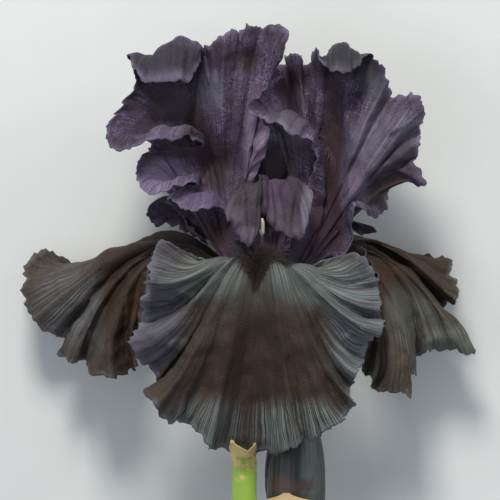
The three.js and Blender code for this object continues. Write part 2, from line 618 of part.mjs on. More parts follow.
// The stalk bends down to the table, where its cut end lies. A side branch carries the bud.
const stalkPath = curve([STALK_X, STALK_TOP_Y, 0], [STALK_X, -96, -0.6], [-6.2, -110, -5],
  [-7, -124, -13.6], [-8, -137, -23.5], [-8.8, -144, -27.8], [-9.2, STALK_END_Y, -28.37]);
const stalkRadius = (along) => {
  const node = 0.7 * Math.exp(-(((along - 0.62) / 0.035) ** 2));
  return SHEATHED_RADIUS + (STALK_RADIUS - SHEATHED_RADIUS) * smooth(along, 0, 0.6) + node;
};
const branchPath = curve([-7.1, -126, -15], [-4, -119, -11], [2, -111, -7], [7.4, -104.4, BUD_Z]);
const stalk = limb(stalkPath, stalkRadius, 22, 14);
const branch = limb(branchPath, (along) => 1.9 + 0.7 * along ** 3, 8, 12);
add('stem', grownTogether([stalk, branch]), GREEN_COLOUR, 0.55);

// A stretch of a longer path.
const stretch = (path, from, to) => ({
  getPoint: (u) => path.getPoint(from + (to - from) * u),
  getTangent: (u) => path.getTangent(from + (to - from) * u),
});

// A spathe valve: a sheath of part of a circle round a path, which closes to a point.
function valve({ path, radius, facing, wrap, point, flare, forward, blunt = 1, gather = 1 }) {
  return (across, row) => {
    const along = 1 - (1 - row) ** gather;
    const centre = path.getPoint(along);
    const tangent = path.getTangent(along);
    const right = v3(1, 0, 0).projectOnPlane(tangent).normalize();
    const up = right.clone().cross(tangent);
    const narrow = 1 - 0.96 * smooth(along, point, 1) ** blunt;
    const angle = THREE.MathUtils.degToRad(facing + (1 - 2 * across) * wrap * narrow);
    const tip = smooth(along, point, 1);
    const r = radius(along) + flare * tip;
    const spoke = right.multiplyScalar(r * Math.cos(angle));
    const place = centre.add(spoke).addScaledVector(up, r * Math.sin(angle));
    place.z += forward * tip * (0.5 + 0.5 * Math.sin(angle));
    return place;
  };
}

const sheathPath = (tipY) => curve([STALK_X, -99, -1.2], [STALK_X, -96, -0.6], [STALK_X, -84, 0],
  [STALK_X, tipY, 0]);
add('spathe_left', blade(valve({
  path: sheathPath(-58.3),
  radius: () => 4.1,
  facing: 134,
  wrap: 112,
  point: 0.8,
  flare: 2.1,
  forward: 8.1,
}), 10, 9, SPATHE_THICKNESS), PAPERY_COLOUR, 0.7);
add('spathe_right', blade(valve({
  path: sheathPath(-59.3),
  radius: () => 3.15,
  facing: 42,
  wrap: 112,
  point: 0.8,
  flare: 1.4,
  forward: 7.75,
}), 10, 9, SPATHE_THICKNESS), PAPERY_COLOUR, 0.7);

// The bud: three petals furled round each other, standing out of two spathe valves of its own.
const budAxis = curve([6.6, -107.6, BUD_Z - 0.7], [7.8, -103.6, BUD_Z], [BUD_X - 0.6, -90, BUD_Z],
  [BUD_X, -66, BUD_Z], [BUD_X - 0.5, -38, BUD_Z + 0.5]);
const BUD_BASE = 0.27; // where on its axis the bud itself begins
const budProfile = (along) => {
  const base = Math.sqrt(smooth(along, BUD_BASE - 0.04, 0.68));
  const tip = Math.sqrt(1 - smooth(along, 0.72, 1.04));
  return BUD_RADIUS * base * tip;
};
const furl = (along, angle) => {
  const turn = (angle / (2 * Math.PI)) * 3 + 2.2 * along;
  return 1 - 0.07 * (turn - Math.floor(turn));
};
add('bud', limb(stretch(budAxis, BUD_BASE, 1), (part, angle) => {
  const along = BUD_BASE + (1 - BUD_BASE) * part;
  return budProfile(along) * furl(along, angle);
}, 13, 20), BUD_COLOUR, 0.45);

const budValveRadius = (along, gap) => Math.max(budProfile(along), 3.1 - 4 * (along - BUD_BASE)) + gap;
const OUTER_REACH = 0.65; // how far up the bud's axis each valve reaches
const INNER_REACH = 0.6;
add('bud_spathe_outer', blade(valve({
  path: stretch(budAxis, 0, OUTER_REACH),
  radius: (part) => budValveRadius(OUTER_REACH * part, 3.1),
  facing: 104,
  wrap: 118,
  point: 0.72,
  blunt: 6,
  gather: 1.7,
  flare: 0,
  forward: 0,
}), 12, 10, SPATHE_THICKNESS), PAPERY_COLOUR, 0.8);
add('bud_spathe_inner', blade(valve({
  path: stretch(budAxis, 0, INNER_REACH),
  radius: (part) => budValveRadius(INNER_REACH * part, 1.8),
  facing: -70,
  wrap: 100,
  point: 0.72,
  blunt: 3,
  gather: 1.7,
  flare: 0,
  forward: 0,
}), 12, 10, SPATHE_THICKNESS), PAPERY_COLOUR, 0.8);

export default flower;
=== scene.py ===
import math
import bmesh
import bpy
import numpy as np
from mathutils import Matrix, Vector


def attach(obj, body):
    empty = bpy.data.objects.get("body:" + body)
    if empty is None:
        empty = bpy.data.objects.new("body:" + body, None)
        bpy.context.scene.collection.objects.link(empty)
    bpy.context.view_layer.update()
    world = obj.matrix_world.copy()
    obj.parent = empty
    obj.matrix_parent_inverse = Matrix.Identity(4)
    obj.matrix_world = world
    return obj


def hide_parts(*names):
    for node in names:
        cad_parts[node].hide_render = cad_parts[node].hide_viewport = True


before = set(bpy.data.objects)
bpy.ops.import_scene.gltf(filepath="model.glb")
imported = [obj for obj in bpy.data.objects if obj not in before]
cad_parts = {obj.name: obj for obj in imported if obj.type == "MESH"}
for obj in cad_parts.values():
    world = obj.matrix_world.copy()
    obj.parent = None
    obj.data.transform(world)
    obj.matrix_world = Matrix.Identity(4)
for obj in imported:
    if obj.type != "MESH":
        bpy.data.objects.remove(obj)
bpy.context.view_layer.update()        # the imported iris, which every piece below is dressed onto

print("frame loaded:", len(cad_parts), "solids")

# Every shape is in millimetres from the flower's own middle, as x, y and z towards the viewer.
# flowerMiddle moves it into the frame: the long axis lies 31 mm above the table.
flowerMiddle = np.array([4.3, 34.9, 31.0])


def vec(*numbers):
    return np.array(numbers, float)


def smooth(x, low=0.0, high=1.0):
    x = np.clip((x - low) / (high - low), 0, 1)
    return x * x * (3 - 2 * x)


def unit(v):
    return v / np.maximum(np.linalg.norm(v, axis=-1, keepdims=True), 1e-9)


noiseValues = 4096    # how many values a noise lattice draws on


def softNoise(x, y, seed):
    # value noise from -1 to 1 on a seeded lattice
    x, y = np.broadcast_arrays(np.asarray(x, float), np.asarray(y, float))
    table = np.random.default_rng(seed).uniform(-1, 1, noiseValues)
    i, j = np.floor(x).astype(int), np.floor(y).astype(int)
    u, v = smooth(x - i), smooth(y - j)

    def corner(di, dj):
        return table[((i + di) * 271 + (j + dj) * 1117 + 37) % noiseValues]

    near, far = (corner(0, dj) * (1 - u) + corner(1, dj) * u for dj in (0, 1))
    return near * (1 - v) + far * v


def placed(name, data):
    # a new object in the scene
    made = bpy.data.objects.new(name, data)
    bpy.context.scene.collection.objects.link(made)
    return made


def meshObject(name, points, faces, uv, parts=None):
    # points in flower millimetres, one uv pair for each point, one material index for each face
    mesh = bpy.data.meshes.new(name)
    mesh.from_pydata(((points + flowerMiddle) / 1000).tolist(), [], faces)
    mesh.polygons.foreach_set("use_smooth", np.ones(len(mesh.polygons), bool))
    if parts is not None:
        mesh.polygons.foreach_set("material_index", np.asarray(parts, np.int32))
    corners = np.empty(len(mesh.loops), np.int32)
    mesh.loops.foreach_get("vertex_index", corners)
    mesh.uv_layers.new(name="veins").data.foreach_set("uv", uv[corners].astype(np.float32).ravel())
    mesh.update()
    return placed(name, mesh)


def gridMap(across, along):
    # one uv pair for each point of a grid
    return np.stack(np.broadcast_arrays(across, along), -1).reshape(-1, 2)


def gridFaces(rows, columns, base=0, flip=False):
    i, j = np.meshgrid(np.arange(rows - 1), np.arange(columns - 1), indexing="ij")
    a = (base + i * columns + j).ravel()
    quads = np.stack([a, a + columns, a + columns + 1, a + 1], 1)
    return quads[:, ::-1] if flip else quads


def sheetNormals(grid):
    return unit(np.cross(np.gradient(grid, axis=0), np.gradient(grid, axis=1)))


def bladeObject(name, grid, thickness, uv, backIndex=1):
    # a closed thin sheet: front, back, and a hem round its outline
    rows, columns = grid.shape[:2]
    offset = sheetNormals(grid) * (np.broadcast_to(thickness, grid.shape[:2])[..., None] / 2)
    points = np.concatenate([(grid + offset).reshape(-1, 3), (grid - offset).reshape(-1, 3)])
    back = rows * columns
    front = gridFaces(rows, columns)
    rear = gridFaces(rows, columns, back, flip=True)
    outline = np.concatenate([
        np.arange(rows) * columns,
        (rows - 1) * columns + np.arange(1, columns),
        np.arange(rows - 2, -1, -1) * columns + columns - 1,
        np.arange(columns - 2, 0, -1),
    ])
    after = np.roll(outline, -1)
    hem = np.stack([outline, outline + back, after + back, after], 1)
    faces = np.concatenate([front, rear, hem])
    parts = np.repeat([0, backIndex, 0], [len(front), len(rear), len(hem)])
    return meshObject(name, points, faces.tolist(), np.concatenate([uv, uv]), parts)


def curveGaps(points):
    # how much of a curve's own measure lies between one point and the next
    return np.sqrt(np.linalg.norm(np.diff(points[:, :3], axis=0), axis=1))


def curveAt(points, u):
    # a centripetal curve through points, with as much of u between each pair of points
    p = np.asarray(points, float)
    p = np.concatenate([[2 * p[0] - p[1]], p, [2 * p[-1] - p[-2]]])
    place = np.clip(u, 0, 1) * (len(p) - 3)
    i = np.minimum(place.astype(int), len(p) - 4)
    w = (place - i)[:, None]
    before, here, after = (curveGaps(p)[i + k][:, None] for k in range(3))
    p0, p1, p2, p3 = (p[i + k] for k in range(4))
    out = ((p1 - p0) / before - (p2 - p0) / (before + here) + (p2 - p1) / here) * here
    into = ((p2 - p1) / here - (p3 - p1) / (here + after) + (p3 - p2) / after) * here
    return p1 + out * w + (3 * (p2 - p1) - 2 * out - into) * w ** 2 + (2 * (p1 - p2) + out + into) * w ** 3


def alongCurve(points, u):
    # centre, right and up at each u
    u = np.asarray(u, float)
    way = unit(curveAt(points, np.minimum(u + 1e-3, 1)) - curveAt(points, np.maximum(u - 1e-3, 0)))
    right = unit(vec(1, 0, 0) - way * way[:, :1])
    return curveAt(points, u), right, np.cross(right, way)


def limbObject(name, points, radius, steps, sides, span=(0, 1)):
    # a round limb along a curve; radius(along, angle) gives its section
    u = np.linspace(0, 1, steps)
    centre, right, up = alongCurve(points, span[0] + (span[1] - span[0]) * u)
    angle = np.linspace(0, 2 * math.pi, sides + 1)
    r = radius(u[:, None], angle[None, :]) + np.zeros((steps, sides + 1))
    ring = centre[:, None] + right[:, None] * (r * np.cos(angle))[..., None]
    ring = ring + up[:, None] * (r * np.sin(angle))[..., None]
    uv = gridMap(angle[None, :] / (2 * math.pi), u[:, None])
    faces = gridFaces(steps, sides + 1).tolist()
    closed = np.concatenate([ring.reshape(-1, 3), centre[:1], centre[-1:]])
    first, last, lastRing = len(closed) - 2, len(closed) - 1, (steps - 1) * (sides + 1)
    for k in range(sides):
        faces.append([first, k, k + 1])
        faces.append([last, lastRing + k + 1, lastRing + k])
    piece = meshObject(name, closed, faces, np.concatenate([uv, [[0.5, 0], [0.5, 1]]]))
    weld(piece)
    return piece


def weld(piece):
    # closes the seam where a ring ends on itself
    shape = bmesh.new()
    shape.from_mesh(piece.data)
    bmesh.ops.remove_doubles(shape, verts=shape.verts, dist=1e-7)
    bmesh.ops.recalc_face_normals(shape, faces=shape.faces)
    shape.to_mesh(piece.data)
    shape.free()


class Wire:
    # a node's output; sums on it add Math nodes

    def __init__(self, finish, socket):
        self.finish = finish
        self.socket = socket

    def maths(self, operation, first, second):
        return self.finish.node("ShaderNodeMath", {"operation": operation}, {0: first, 1: second})

    def __add__(self, other):
        return self.maths("ADD", self, other)

    def __sub__(self, other):
        return self.maths("SUBTRACT", self, other)

    def __rsub__(self, other):
        return self.maths("SUBTRACT", other, self)

    def __mul__(self, other):
        return self.maths("MULTIPLY", self, other)

    __radd__ = __add__
    __rmul__ = __mul__

    def inside(self):
        return self.finish.node("ShaderNodeClamp", {}, {"Value": self})

    def step(self, low, high):
        inputs = {"Value": self, "From Min": low, "From Max": high}
        return self.finish.node("ShaderNodeMapRange", {"interpolation_type": "SMOOTHSTEP"}, inputs)


class Finish:
    # one material and its nodes

    def __init__(self, name):
        self.material = bpy.data.materials.new(name)
        self.material.use_nodes = True
        self.tree = self.material.node_tree
        self.tree.nodes.clear()

    def node(self, kind, settings, inputs, output=0):
        made = self.tree.nodes.new(kind)
        for key, value in settings.items():
            setattr(made, key, value)
        for key, value in inputs.items():
            if isinstance(value, Wire):
                self.tree.links.new(value.socket, made.inputs[key])
            else:
                made.inputs[key].default_value = value
        if made.outputs:
            return Wire(self, made.outputs[output])

    def veins(self):
        # across and along a petal, from its own map
        place = self.node("ShaderNodeUVMap", {"uv_map": "veins"}, {})
        return tuple(self.node("ShaderNodeSeparateXYZ", {}, {0: place}, k) for k in (0, 1))

    def place(self):
        return self.node("ShaderNodeTexCoord", {}, {}, "Object")

    def vector(self, x, y):
        return self.node("ShaderNodeCombineXYZ", {}, {0: x, 1: y})

    def noise(self, where, scale, detail=2.0, roughness=0.5):
        inputs = {"Vector": where, "Scale": scale, "Detail": detail, "Roughness": roughness}
        return self.node("ShaderNodeTexNoise", {}, inputs, "Fac")

    def near(self, place, middle, reach, turn=0.0):
        # 1 in the middle of an oval seen from above, fading to 0 at its reach; all in flower millimetres
        inputs = {
            "Vector": place, "Location": (vec(*middle, 0) + flowerMiddle) / 1000,
            "Rotation": (0, 0, math.radians(turn)), "Scale": (reach[0] / 1000, reach[1] / 1000, 1),
        }
        oval = self.node("ShaderNodeMapping", {"vector_type": "TEXTURE"}, inputs)
        return self.node("ShaderNodeVectorMath", {"operation": "LENGTH"}, {0: oval}, "Value").step(1.0, 0.45)

    def mix(self, factor, first, second):
        # colours as (r, g, b) or wires
        first, second = (c if isinstance(c, Wire) else (*c, 1) for c in (first, second))
        return self.node("ShaderNodeMix", {"data_type": "RGBA"}, {0: factor, 6: first, 7: second}, 2)

    def done(self, colour, rough, height=None, bump=0.5, depth=0.0002, **fixed):
        settings = {"Base Color": colour if isinstance(colour, Wire) else (*colour, 1), "Roughness": rough}
        if height is not None:
            relief = {"Strength": bump, "Distance": depth, "Height": height}
            settings["Normal"] = self.node("ShaderNodeBump", {}, relief)
        settings.update({key.replace("_", " "): value for key, value in fixed.items()})
        shader = self.node("ShaderNodeBsdfPrincipled", {}, settings)
        self.node("ShaderNodeOutputMaterial", {}, {"Surface": shader})
        return self.material


def dress(piece, node, slot, *materials):
    for material in materials:
        piece.data.materials.append(material)
    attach(piece, "root")
    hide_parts(node)


# A petal is a fan of veins from a narrow claw to a ruffled rim. Its veins leave the claw the way of the haft.
# spread evens the rim out for the blade inside it, and a deeper depth keeps the ruffles nearer the rim.
petals = {
    "fall_front": {
        "claw": (0, -10, 6.5), "clawSide": (-2.4, 0, 0),
        "haft": (0, 20, 13), "haftSide": (-9, 2, 0), "haftArch": (0, 26, 0),
        "hub": (0, -18, 20), "reach": 22, "lean": 0.05, "spread": 20, "depth": 4.2,
    },
    "fall_left": {
        "claw": (-5.4, -10, -3), "clawSide": (-1.1, 0, 2.1),
        "haft": (-30, 40, -8), "haftSide": (-2, 0, 6),
        "hub": (-44, -5, -16), "face": (-0.5, 0, 0.87), "reach": 16, "spread": 12, "depth": 3.4,
    },
    "fall_right": {
        "claw": (5.4, -10, -3), "clawSide": (1.1, 0, 2.1),
        "haft": (32, 38, -8), "haftSide": (2, 0, 6),
        "hub": (48, -5, -15), "face": (0.5, 0, 0.87), "reach": 16, "spread": 12, "depth": 3.4,
    },
    "standard_left": {
        "claw": (-5.4, -10, 3), "clawSide": (1.2, 0, 2),
        "haft": (-10, 20, -4), "haftSide": (3, 1, 0),
        "hub": (-14, 20, 0), "reach": 20, "lean": 0.08, "spread": 12.4, "depth": 2.6,
    },
    "standard_right": {
        "claw": (5.4, -10, 3), "clawSide": (-1.2, 0, 2),
        "haft": (15, 18, -4), "haftSide": (-3, 1, 0),
        "hub": (20, 22, 0), "reach": 20, "lean": 0.08, "spread": 11.2, "depth": 2.6,
    },
    "standard_back": {
        "claw": (0, -10, -6.4), "clawSide": (-2.4, 0, 0),
        "haft": (0, 10, -10), "haftSide": (-8, 6, 0),
        "hub": (0, 32, -24), "reach": 20, "lean": 0.1, "spread": 6.8, "depth": 2,
    },
    "style_arm_front": {
        "claw": (0, -10, 2.4), "clawSide": (-1.6, 0, 0),
        "haft": (0, 35, 6), "haftSide": (-9, 0, 0), "haftOver": 12,
        "hub": (0, 20, 4), "reach": 8, "spread": 3.4, "depth": 3,
    },
    "style_arm_left": {
        "claw": (-2.1, -10, -1.2), "clawSide": (0.8, 0, 1.4),
        "haft": (-10, 28, -4), "haftSide": (0, 0, 5), "haftOver": 12,
        "hub": (-22, 12, -10), "face": (-0.5, 0, 0.87), "reach": 8, "spread": 3.4, "depth": 3,
    },
    "style_arm_right": {
        "claw": (2.1, -10, -1.2), "clawSide": (-0.8, 0, 1.4),
        "haft": (10, 27, -4), "haftSide": (0, 0, 5), "haftOver": 12,
        "hub": (24, 10, -8), "face": (0.5, 0, 0.87), "reach": 8, "spread": 3.4, "depth": 3,
    },
}

# The rim of each petal, in rows of x, y, z, and then the pull: from the rim to the handle that its vein
# comes from. A row without a pull gets one that points at the hub and is reach long.
petalRims = {
    "fall_front": [
        (-7.5, -3, 8, 4, -8, 0), (-13.5, -0.5, 12, 7, -10, 0), (-21.5, 2.5, 16, 10, -10, -2),
        (-33, 7.5, 19, 10, -7, -10), (-37, 1, 24, 18, -9, -8), (-38.5, -5.5, 29), (-37.5, -8.5, 22),
        (-40, -12.5, 19), (-38.5, -17.5, 12, 22, 0, 4), (-37.5, -20, 9, 22, 1, 4), (-42.5, -21.5, 22),
        (-44.5, -25.5, 27), (-40.5, -31.5, 20, 21, 7, 4), (-35.5, -37.5, 14), (-34.5, -41, 11),
        (-38.5, -43.5, 19), (-36.5, -46.5, 23), (-32, -51.5, 17, 14, 15, 8), (-27, -51.5, 10, 13, 16, 8),
        (-22.5, -54, 13, 11, 18, 8), (-19.5, -59.5, 16, 9, 19, 8), (-15.5, -60.5, 8.5, 7, 19, 8),
        (-12.5, -61.5, 5.6, 6, 20, 8), (-9.5, -62, 5, 4, 19, 11), (-5.5, -62, 4.6, 2, 19, 11),
        (-1.5, -61.5, 4.6, 1, 19, 11), (2.5, -62.5, 7.5, -1, 19, 11), (7, -61.5, 10.5, -3, 19, 11),
        (9.5, -61, 17, -5, 20, 8), (12.5, -59.5, 20, -6, 20, 8), (14.5, -58, 13, -7, 19, 8),
        (19.5, -57, 17, -9, 19, 8), (24.5, -53, 19, -12, 17, 8), (29, -49.5, 15), (30.5, -45.5, 19),
        (30, -41.5, 13), (30.5, -37, 17), (34, -31, 11), (36.5, -25.5, 15), (40.5, -21, 25),
        (39.5, -17.5, 17), (39.5, -13.5, 21), (38.5, -6.5, 17, -21, -6, -4), (36, -0.5, 22, -19, -9, -8),
        (31.5, 3.5, 18, -10, -7, -10), (24, 2.5, 15, -10, -9, -2), (14, -1, 12, -8, -9, 0),
        (8, -3.5, 8, -4, -8, 0),
    ],
    "fall_left": [
        (-8.5, -4.5, -2.8, 6, -4, 0), (-17, 2, -2.6, 6, -5, 0), (-26, 6.5, -3, 7, -3, 0),
        (-34, 6.5, -2.5, 7, 4, -2), (-37, 0.5, -1), (-38, -8.5, 2), (-40.5, -18.5, 1), (-40.5, -28.5, 3),
        (-43, -33.5, 5, -6, 15, 0), (-45, -36.5, -3, -4, 16, 1), (-48, -37, 3, -4, 15, 1),
        (-51.5, -37.5, 5, -3, 16, 1), (-55, -36.5, 3, -1, 16, 2), (-58, -35, -8, 2, 15, 4),
        (-59.5, -32.5, -11, 4, 15, 5), (-63.5, -33.5, -5, 4, 15, 5), (-68.5, -30, -9, 7, 13, 7),
        (-65.5, -27.5, -17, 7, 12, 7), (-67.5, -25.5, -18, 8, 11, 8), (-70.5, -24, -13), (-75.5, -19.5, -11),
        (-79.5, -12.5, -12), (-80.5, -5, -15, 14, -4, 0), (-79.5, 1, -18, 14, -12, 0),
        (-74.5, 5, -22, 12, -20, 2), (-69, 3, -27, 8, -22, 4), (-63.5, -1, -34, 4, -18, 6),
        (-57.5, 1, -38, 0, -10, 8), (-49, 3.5, -37, 0, -4, 8), (-38, 6.5, -25, 6, -2, 6),
        (-26, 6.5, -15, 8, -2, 2), (-17, 2.5, -9.5, 6, -5, 1), (-8.5, -4.5, -5.6, 6, -4, 0),
    ],
    "fall_right": [
        (8.5, -4.5, -2.8, -6, -4, 0), (17, 2, -2.6, -6, -5, 0), (26, 6.5, -3, -7, -3, 0),
        (33.5, 5.5, -2.5, -7, 4, -2), (37.5, -1.5, -1), (37.5, -13.5, 1), (35.5, -23.5, 2), (33.5, -31, 2),
        (33.5, -36.5, 1, 9, 13, -2), (36.5, -38, 5, 8, 13, -2), (38.5, -41, 3, 7, 14, -1),
        (42, -42.5, 7, 7, 14, -1), (46, -43, 5, 5, 15, 0), (49, -44, 8, 5, 15, 0), (49, -37.5, 2, 4, 15, 1),
        (50.5, -35.5, -4, 3, 16, 2), (52, -30.5, -9, 1, 16, 3), (55.5, -29.5, -5, 1, 16, 3),
        (61, -29.5, -8, -3, 15, 5), (66, -30, -6, -4, 14, 6), (70.5, -30.5, -8, -6, 13, 7),
        (71.5, -28.5, -12, -7, 12, 7), (66.5, -25.5, -15), (62.5, -20.5, -18), (61, -15.5, -18),
        (62.5, -13.5, -11), (65.5, -12.5, -7), (66.5, -9.5, -11), (64.5, -3.5, -16), (63.5, 2, -21),
        (59.5, 2.5, -26, -10, -6, 4), (55.5, 3.5, -33, -8, -10, 4), (50, 1.5, -42, -4, -10, 6),
        (42.5, 3, -42, 0, -6, 8), (33.5, 5.5, -27, -6, -2, 6), (26, 6.5, -15, -8, -2, 2),
        (17, 2.5, -9.5, -6, -5, 1), (8.5, -4.5, -5.6, -6, -4, 0),
    ],
    "standard_left": [
        (-8, -0.5, 2, -2, 8, 0), (-7.5, 12.5, 1, -7, 8, 0), (-4.5, 23, 1), (0, 35, 5, -13, -14, -7),
        (2.5, 44.5, 12, -6, -8, -17), (-0.5, 51, 6, -8, -17, -7), (1, 56.5, 5.5),
        (3.5, 63.5, 8, -7, -17, -7), (6.5, 70.5, 12, -7, -17, -7), (8.5, 77.5, 14, -7, -18, -7),
        (4.5, 79.5, 9), (0, 79, 5), (-3.5, 80.5, 9), (-8, 78, 5), (-12.5, 77.5, 9), (-16.5, 74.5, 7),
        (-19.5, 70.5, 2), (-21.5, 66.5, -4), (-21, 71, 4, 10, -8, 22), (-21.5, 65.5, 12, 4, 40, -24),
        (-23.5, 61.5, 18, 2, 56, -30), (-28.5, 61, 20, 0, 58, -30), (-34, 60, 20, 0, 56, -30),
        (-39, 60.5, 18, 4, 44, -28), (-44, 68.5, 10, 8, 6, -18), (-41.5, 62.5, 5, 10, 0, -10),
        (-45.5, 55.5, 8, 12, 4, -10), (-49.5, 49.5, 13, 14, 4, -12), (-51.5, 44, 17, 14, 8, -16),
        (-50.5, 38.5, 20, 12, 16, -18), (-44, 38.5, 23, 8, 22, -20), (-38, 40.5, 20, 6, 22, -18),
        (-30.5, 41.5, 15, 4, 20, -12), (-24, 42.5, 9, 4, 16, -6), (-20.5, 39.5, 4, 6, 10, 2),
        (-29, 39, 5, 10, 6, -4), (-39, 37.5, 8, 12, 4, -8), (-42.5, 32.5, 12, 12, 4, -12),
        (-42, 27, 15, 10, 8, -14), (-38.5, 23.5, 17, 6, 12, -16), (-32, 24, 16, 5, 16, -14),
        (-26, 26, 13, 4, 16, -10), (-22, 27, 8, 6, 10, -4), (-28, 24.5, 8, 8, 8, -6),
        (-31.5, 22, 9, 7, 9, -7), (-27.5, 19, 11, 6, 14, -8), (-23.5, 17.5, 13, 4, 18, -10),
        (-18.5, 19, 13, 3, 18, -10), (-14.5, 18.5, 9, 2, 14, -8), (-12, 13, 3, 0, 10, -2),
        (-10, 5, 2, 0, 8, -2),
    ],
    "standard_right": [
        (8.5, -0.5, 3, 4, 7, 0), (11.5, 9, 2, 6, 8, 0), (13.5, 19, 3), (15.5, 28.5, 6),
        (18, 35.5, 10, 4, 14, -8), (13.5, 43.5, 17, 8, 20, -14), (9.5, 43, 19, 8, 22, -14),
        (5.5, 46.5, 18, 8, 22, -14), (1.5, 49, 15, 8, 18, -12), (-4.5, 50.5, 15, 10, 6, -8),
        (-2.5, 55, 14, 8, -4, -6), (1, 58.5, 13, 4, -8, -6), (4.5, 60.5, 6, 2, -8, -6), (6, 64, -3),
        (7, 67, -8), (8.5, 70, -4), (11.5, 70.5, 2), (12.5, 67.5, -4), (16.5, 68, -5), (18, 72.5, 4),
        (20, 67.5, 13, 2, 30, -22), (23.5, 64.5, 19, 0, 40, -30), (28.5, 64.5, 20, 0, 40, -30),
        (32, 66, 16, -4, 34, -26), (35, 70, 9, -8, 0, -8), (37.5, 69.5, 5, -6, -8, -4), (40, 66, 9),
        (41.5, 61, 7), (42.5, 56.5, 3), (45.5, 56.5, 6), (48.5, 58, 10), (52, 55.5, 13), (54, 51, 12),
        (52.5, 47.5, 5), (52.5, 41.5, 9), (51.5, 36.5, 5), (52, 33, 8), (54, 27.5, 12, -10, 4, -6),
        (50, 28, 5, -8, 8, 4), (46, 29.5, 0, -8, 10, 8), (42.5, 25.5, -3, -8, 10, 10),
        (42, 21.5, -4, -8, 12, 10), (42.5, 18.5, -2, -8, 12, 8), (38.5, 16.5, 2, -6, 12, 6),
        (34, 17.5, 5, -4, 12, 2), (31, 19.5, 7, -2, 10, 0), (30.5, 13.5, 6, 0, 8, 0), (28.5, 5, 4, 0, 8, 0),
        (24.5, -0.5, 3, 0, 6, 0),
    ],
    "standard_back": [
        (-4.5, 1, -10, 1, 8, 0), (-12.5, 10, -15, 5, 9, 0), (-24, 16.5, -20, 16, 10, 7),
        (-32.5, 23.5, -24, 17, 4, 10), (-35.5, 31.5, -20, 20, 0, 3), (-37.5, 38.5, -24), (-34, 45.5, -19),
        (-35.5, 52.5, -22), (-30, 57.5, -17, 14, -12, -7), (-27.5, 63, -21, 12, -14, -7),
        (-21.5, 64.5, -16, 10, -16, -7), (-16, 68.5, -20, 8, -17, -7), (-10, 66.5, -15, 5, -18, -7),
        (-4, 69, -18, 2, -17, -10), (2, 67, -14, -1, -17, -10), (8.5, 66.5, -16, -4, -17, -10),
        (12.5, 65, -19, -6, -16, -10), (18.5, 65.5, -21, -9, -16, -7), (22.5, 61.5, -17, -11, -15, -7),
        (27.5, 61, -21, -13, -14, -7), (30, 55, -17), (34.5, 50, -22), (32.5, 43.5, -18), (36, 36.5, -24),
        (33.5, 29, -20, -20, 2, 3), (31, 21.5, -23, -16, 5, 10), (22.5, 15.5, -20, -15, 11, 7),
        (12, 9, -15, -5, 9, 0), (4.5, 1, -10, -1, 8, 0),
    ],
    "style_arm_front": [
        (-2.5, 9, 9, 0, 20, -3), (-5.5, 15, 12, 4, 20, -5), (-10, 19.5, 15, 8, 20, -7),
        (-12.5, 17.5, 17, 10, 22, -8), (-9.5, 13, 17, 9, 28, -8), (-7, 9, 18, 7, 34, -9),
        (-4.5, 5.5, 19, 5, 40, -10), (-1.5, 10.5, 16, 3, 36, -9), (-0.5, 17.5, 11, 0, 27, -5),
        (1.5, 17.5, 11, 0, 27, -5), (4.5, 12, 15, -3, 32, -8), (9.5, 9.5, 17, -5, 37, -9),
        (12.5, 7.5, 18, -6, 40, -10), (14.5, 13, 18, -7, 30, -8), (16.5, 20.5, 17, -8, 20, -7),
        (16.5, 25, 15, -9, 10, -5), (12, 21.5, 12, -5, 14, -5), (6, 15.5, 10, -2, 20, -4),
        (2.5, 9, 9, 0, 20, -3),
    ],
    "style_arm_left": [
        (-16.5, 7.5, -4), (-22, 11.5, -5), (-26.5, 16.5, -7), (-30.5, 20.5, -9), (-34.5, 22.5, -12, 6, 4, 0),
        (-38, 19.5, -13, 8, 6, 0), (-38.5, 15.5, -14, 9, 8, 0), (-36.5, 12.5, -15, 9, 8, 0),
        (-32.5, 13.5, -14, 6, 8, 0), (-28.5, 13, -12, 4, 8, 0), (-23.5, 9.5, -10), (-18, 6.5, -8),
    ],
    "style_arm_right": [
        (16.5, 6.5, -3), (21.5, 10.5, -2), (27.5, 13.5, -2), (32, 14, -4, -6, 4, 0), (36, 13, -6, -8, 4, 0),
        (38, 11.5, -6, -9, 5, 0), (34.5, 10, -6, -7, 7, 0), (30, 11.5, -6, -5, 6, 0), (25.5, 10.5, -6),
        (19.5, 6.5, -5),
    ],
}
rimSamples = 541


def rimRows(name, petal):
    hub = vec(*petal["hub"])
    face = unit(vec(*petal.get("face", (0, 0, 1))))
    rows = []
    for row in petalRims[name]:
        if len(row) == 3:
            outward = vec(*row) - hub
            outward = unit(outward - face * (outward @ face))
            row = (*row, *(-petal["reach"] * outward))
        rows.append(row)
    return np.array(rows, float)


def throughRows(rows):
    # a curve through the rows, evenly sampled along the rim
    knots = np.concatenate([[0], np.cumsum(curveGaps(rows))])
    place = np.linspace(0, knots[-1], rimSamples)
    return curveAt(rows, np.interp(place, knots, np.linspace(0, 1, len(rows))))


def evenedOut(line, spread):
    # the same line without its waves, and with its ends held
    reach = int(math.ceil(3 * spread))
    bell = np.exp(-0.5 * (np.arange(-reach, reach + 1) / spread) ** 2)
    before, after = 2 * line[0] - line[reach:0:-1], 2 * line[-1] - line[-2:-reach - 2:-1]
    longer = np.concatenate([before, line, after])
    soft = np.stack([np.convolve(column, bell / bell.sum(), "valid") for column in longer.T], 1)
    steps = np.arange(len(line))
    hold = np.exp(-np.minimum(steps, steps[::-1]) / (0.5 * spread))[:, None]
    return line * hold + soft * (1 - hold)


def aboveTable(sheet, clearance):
    # lies flat where it meets the table
    sheet[..., 2] = np.maximum(sheet[..., 2], clearance - flowerMiddle[2])
    return sheet


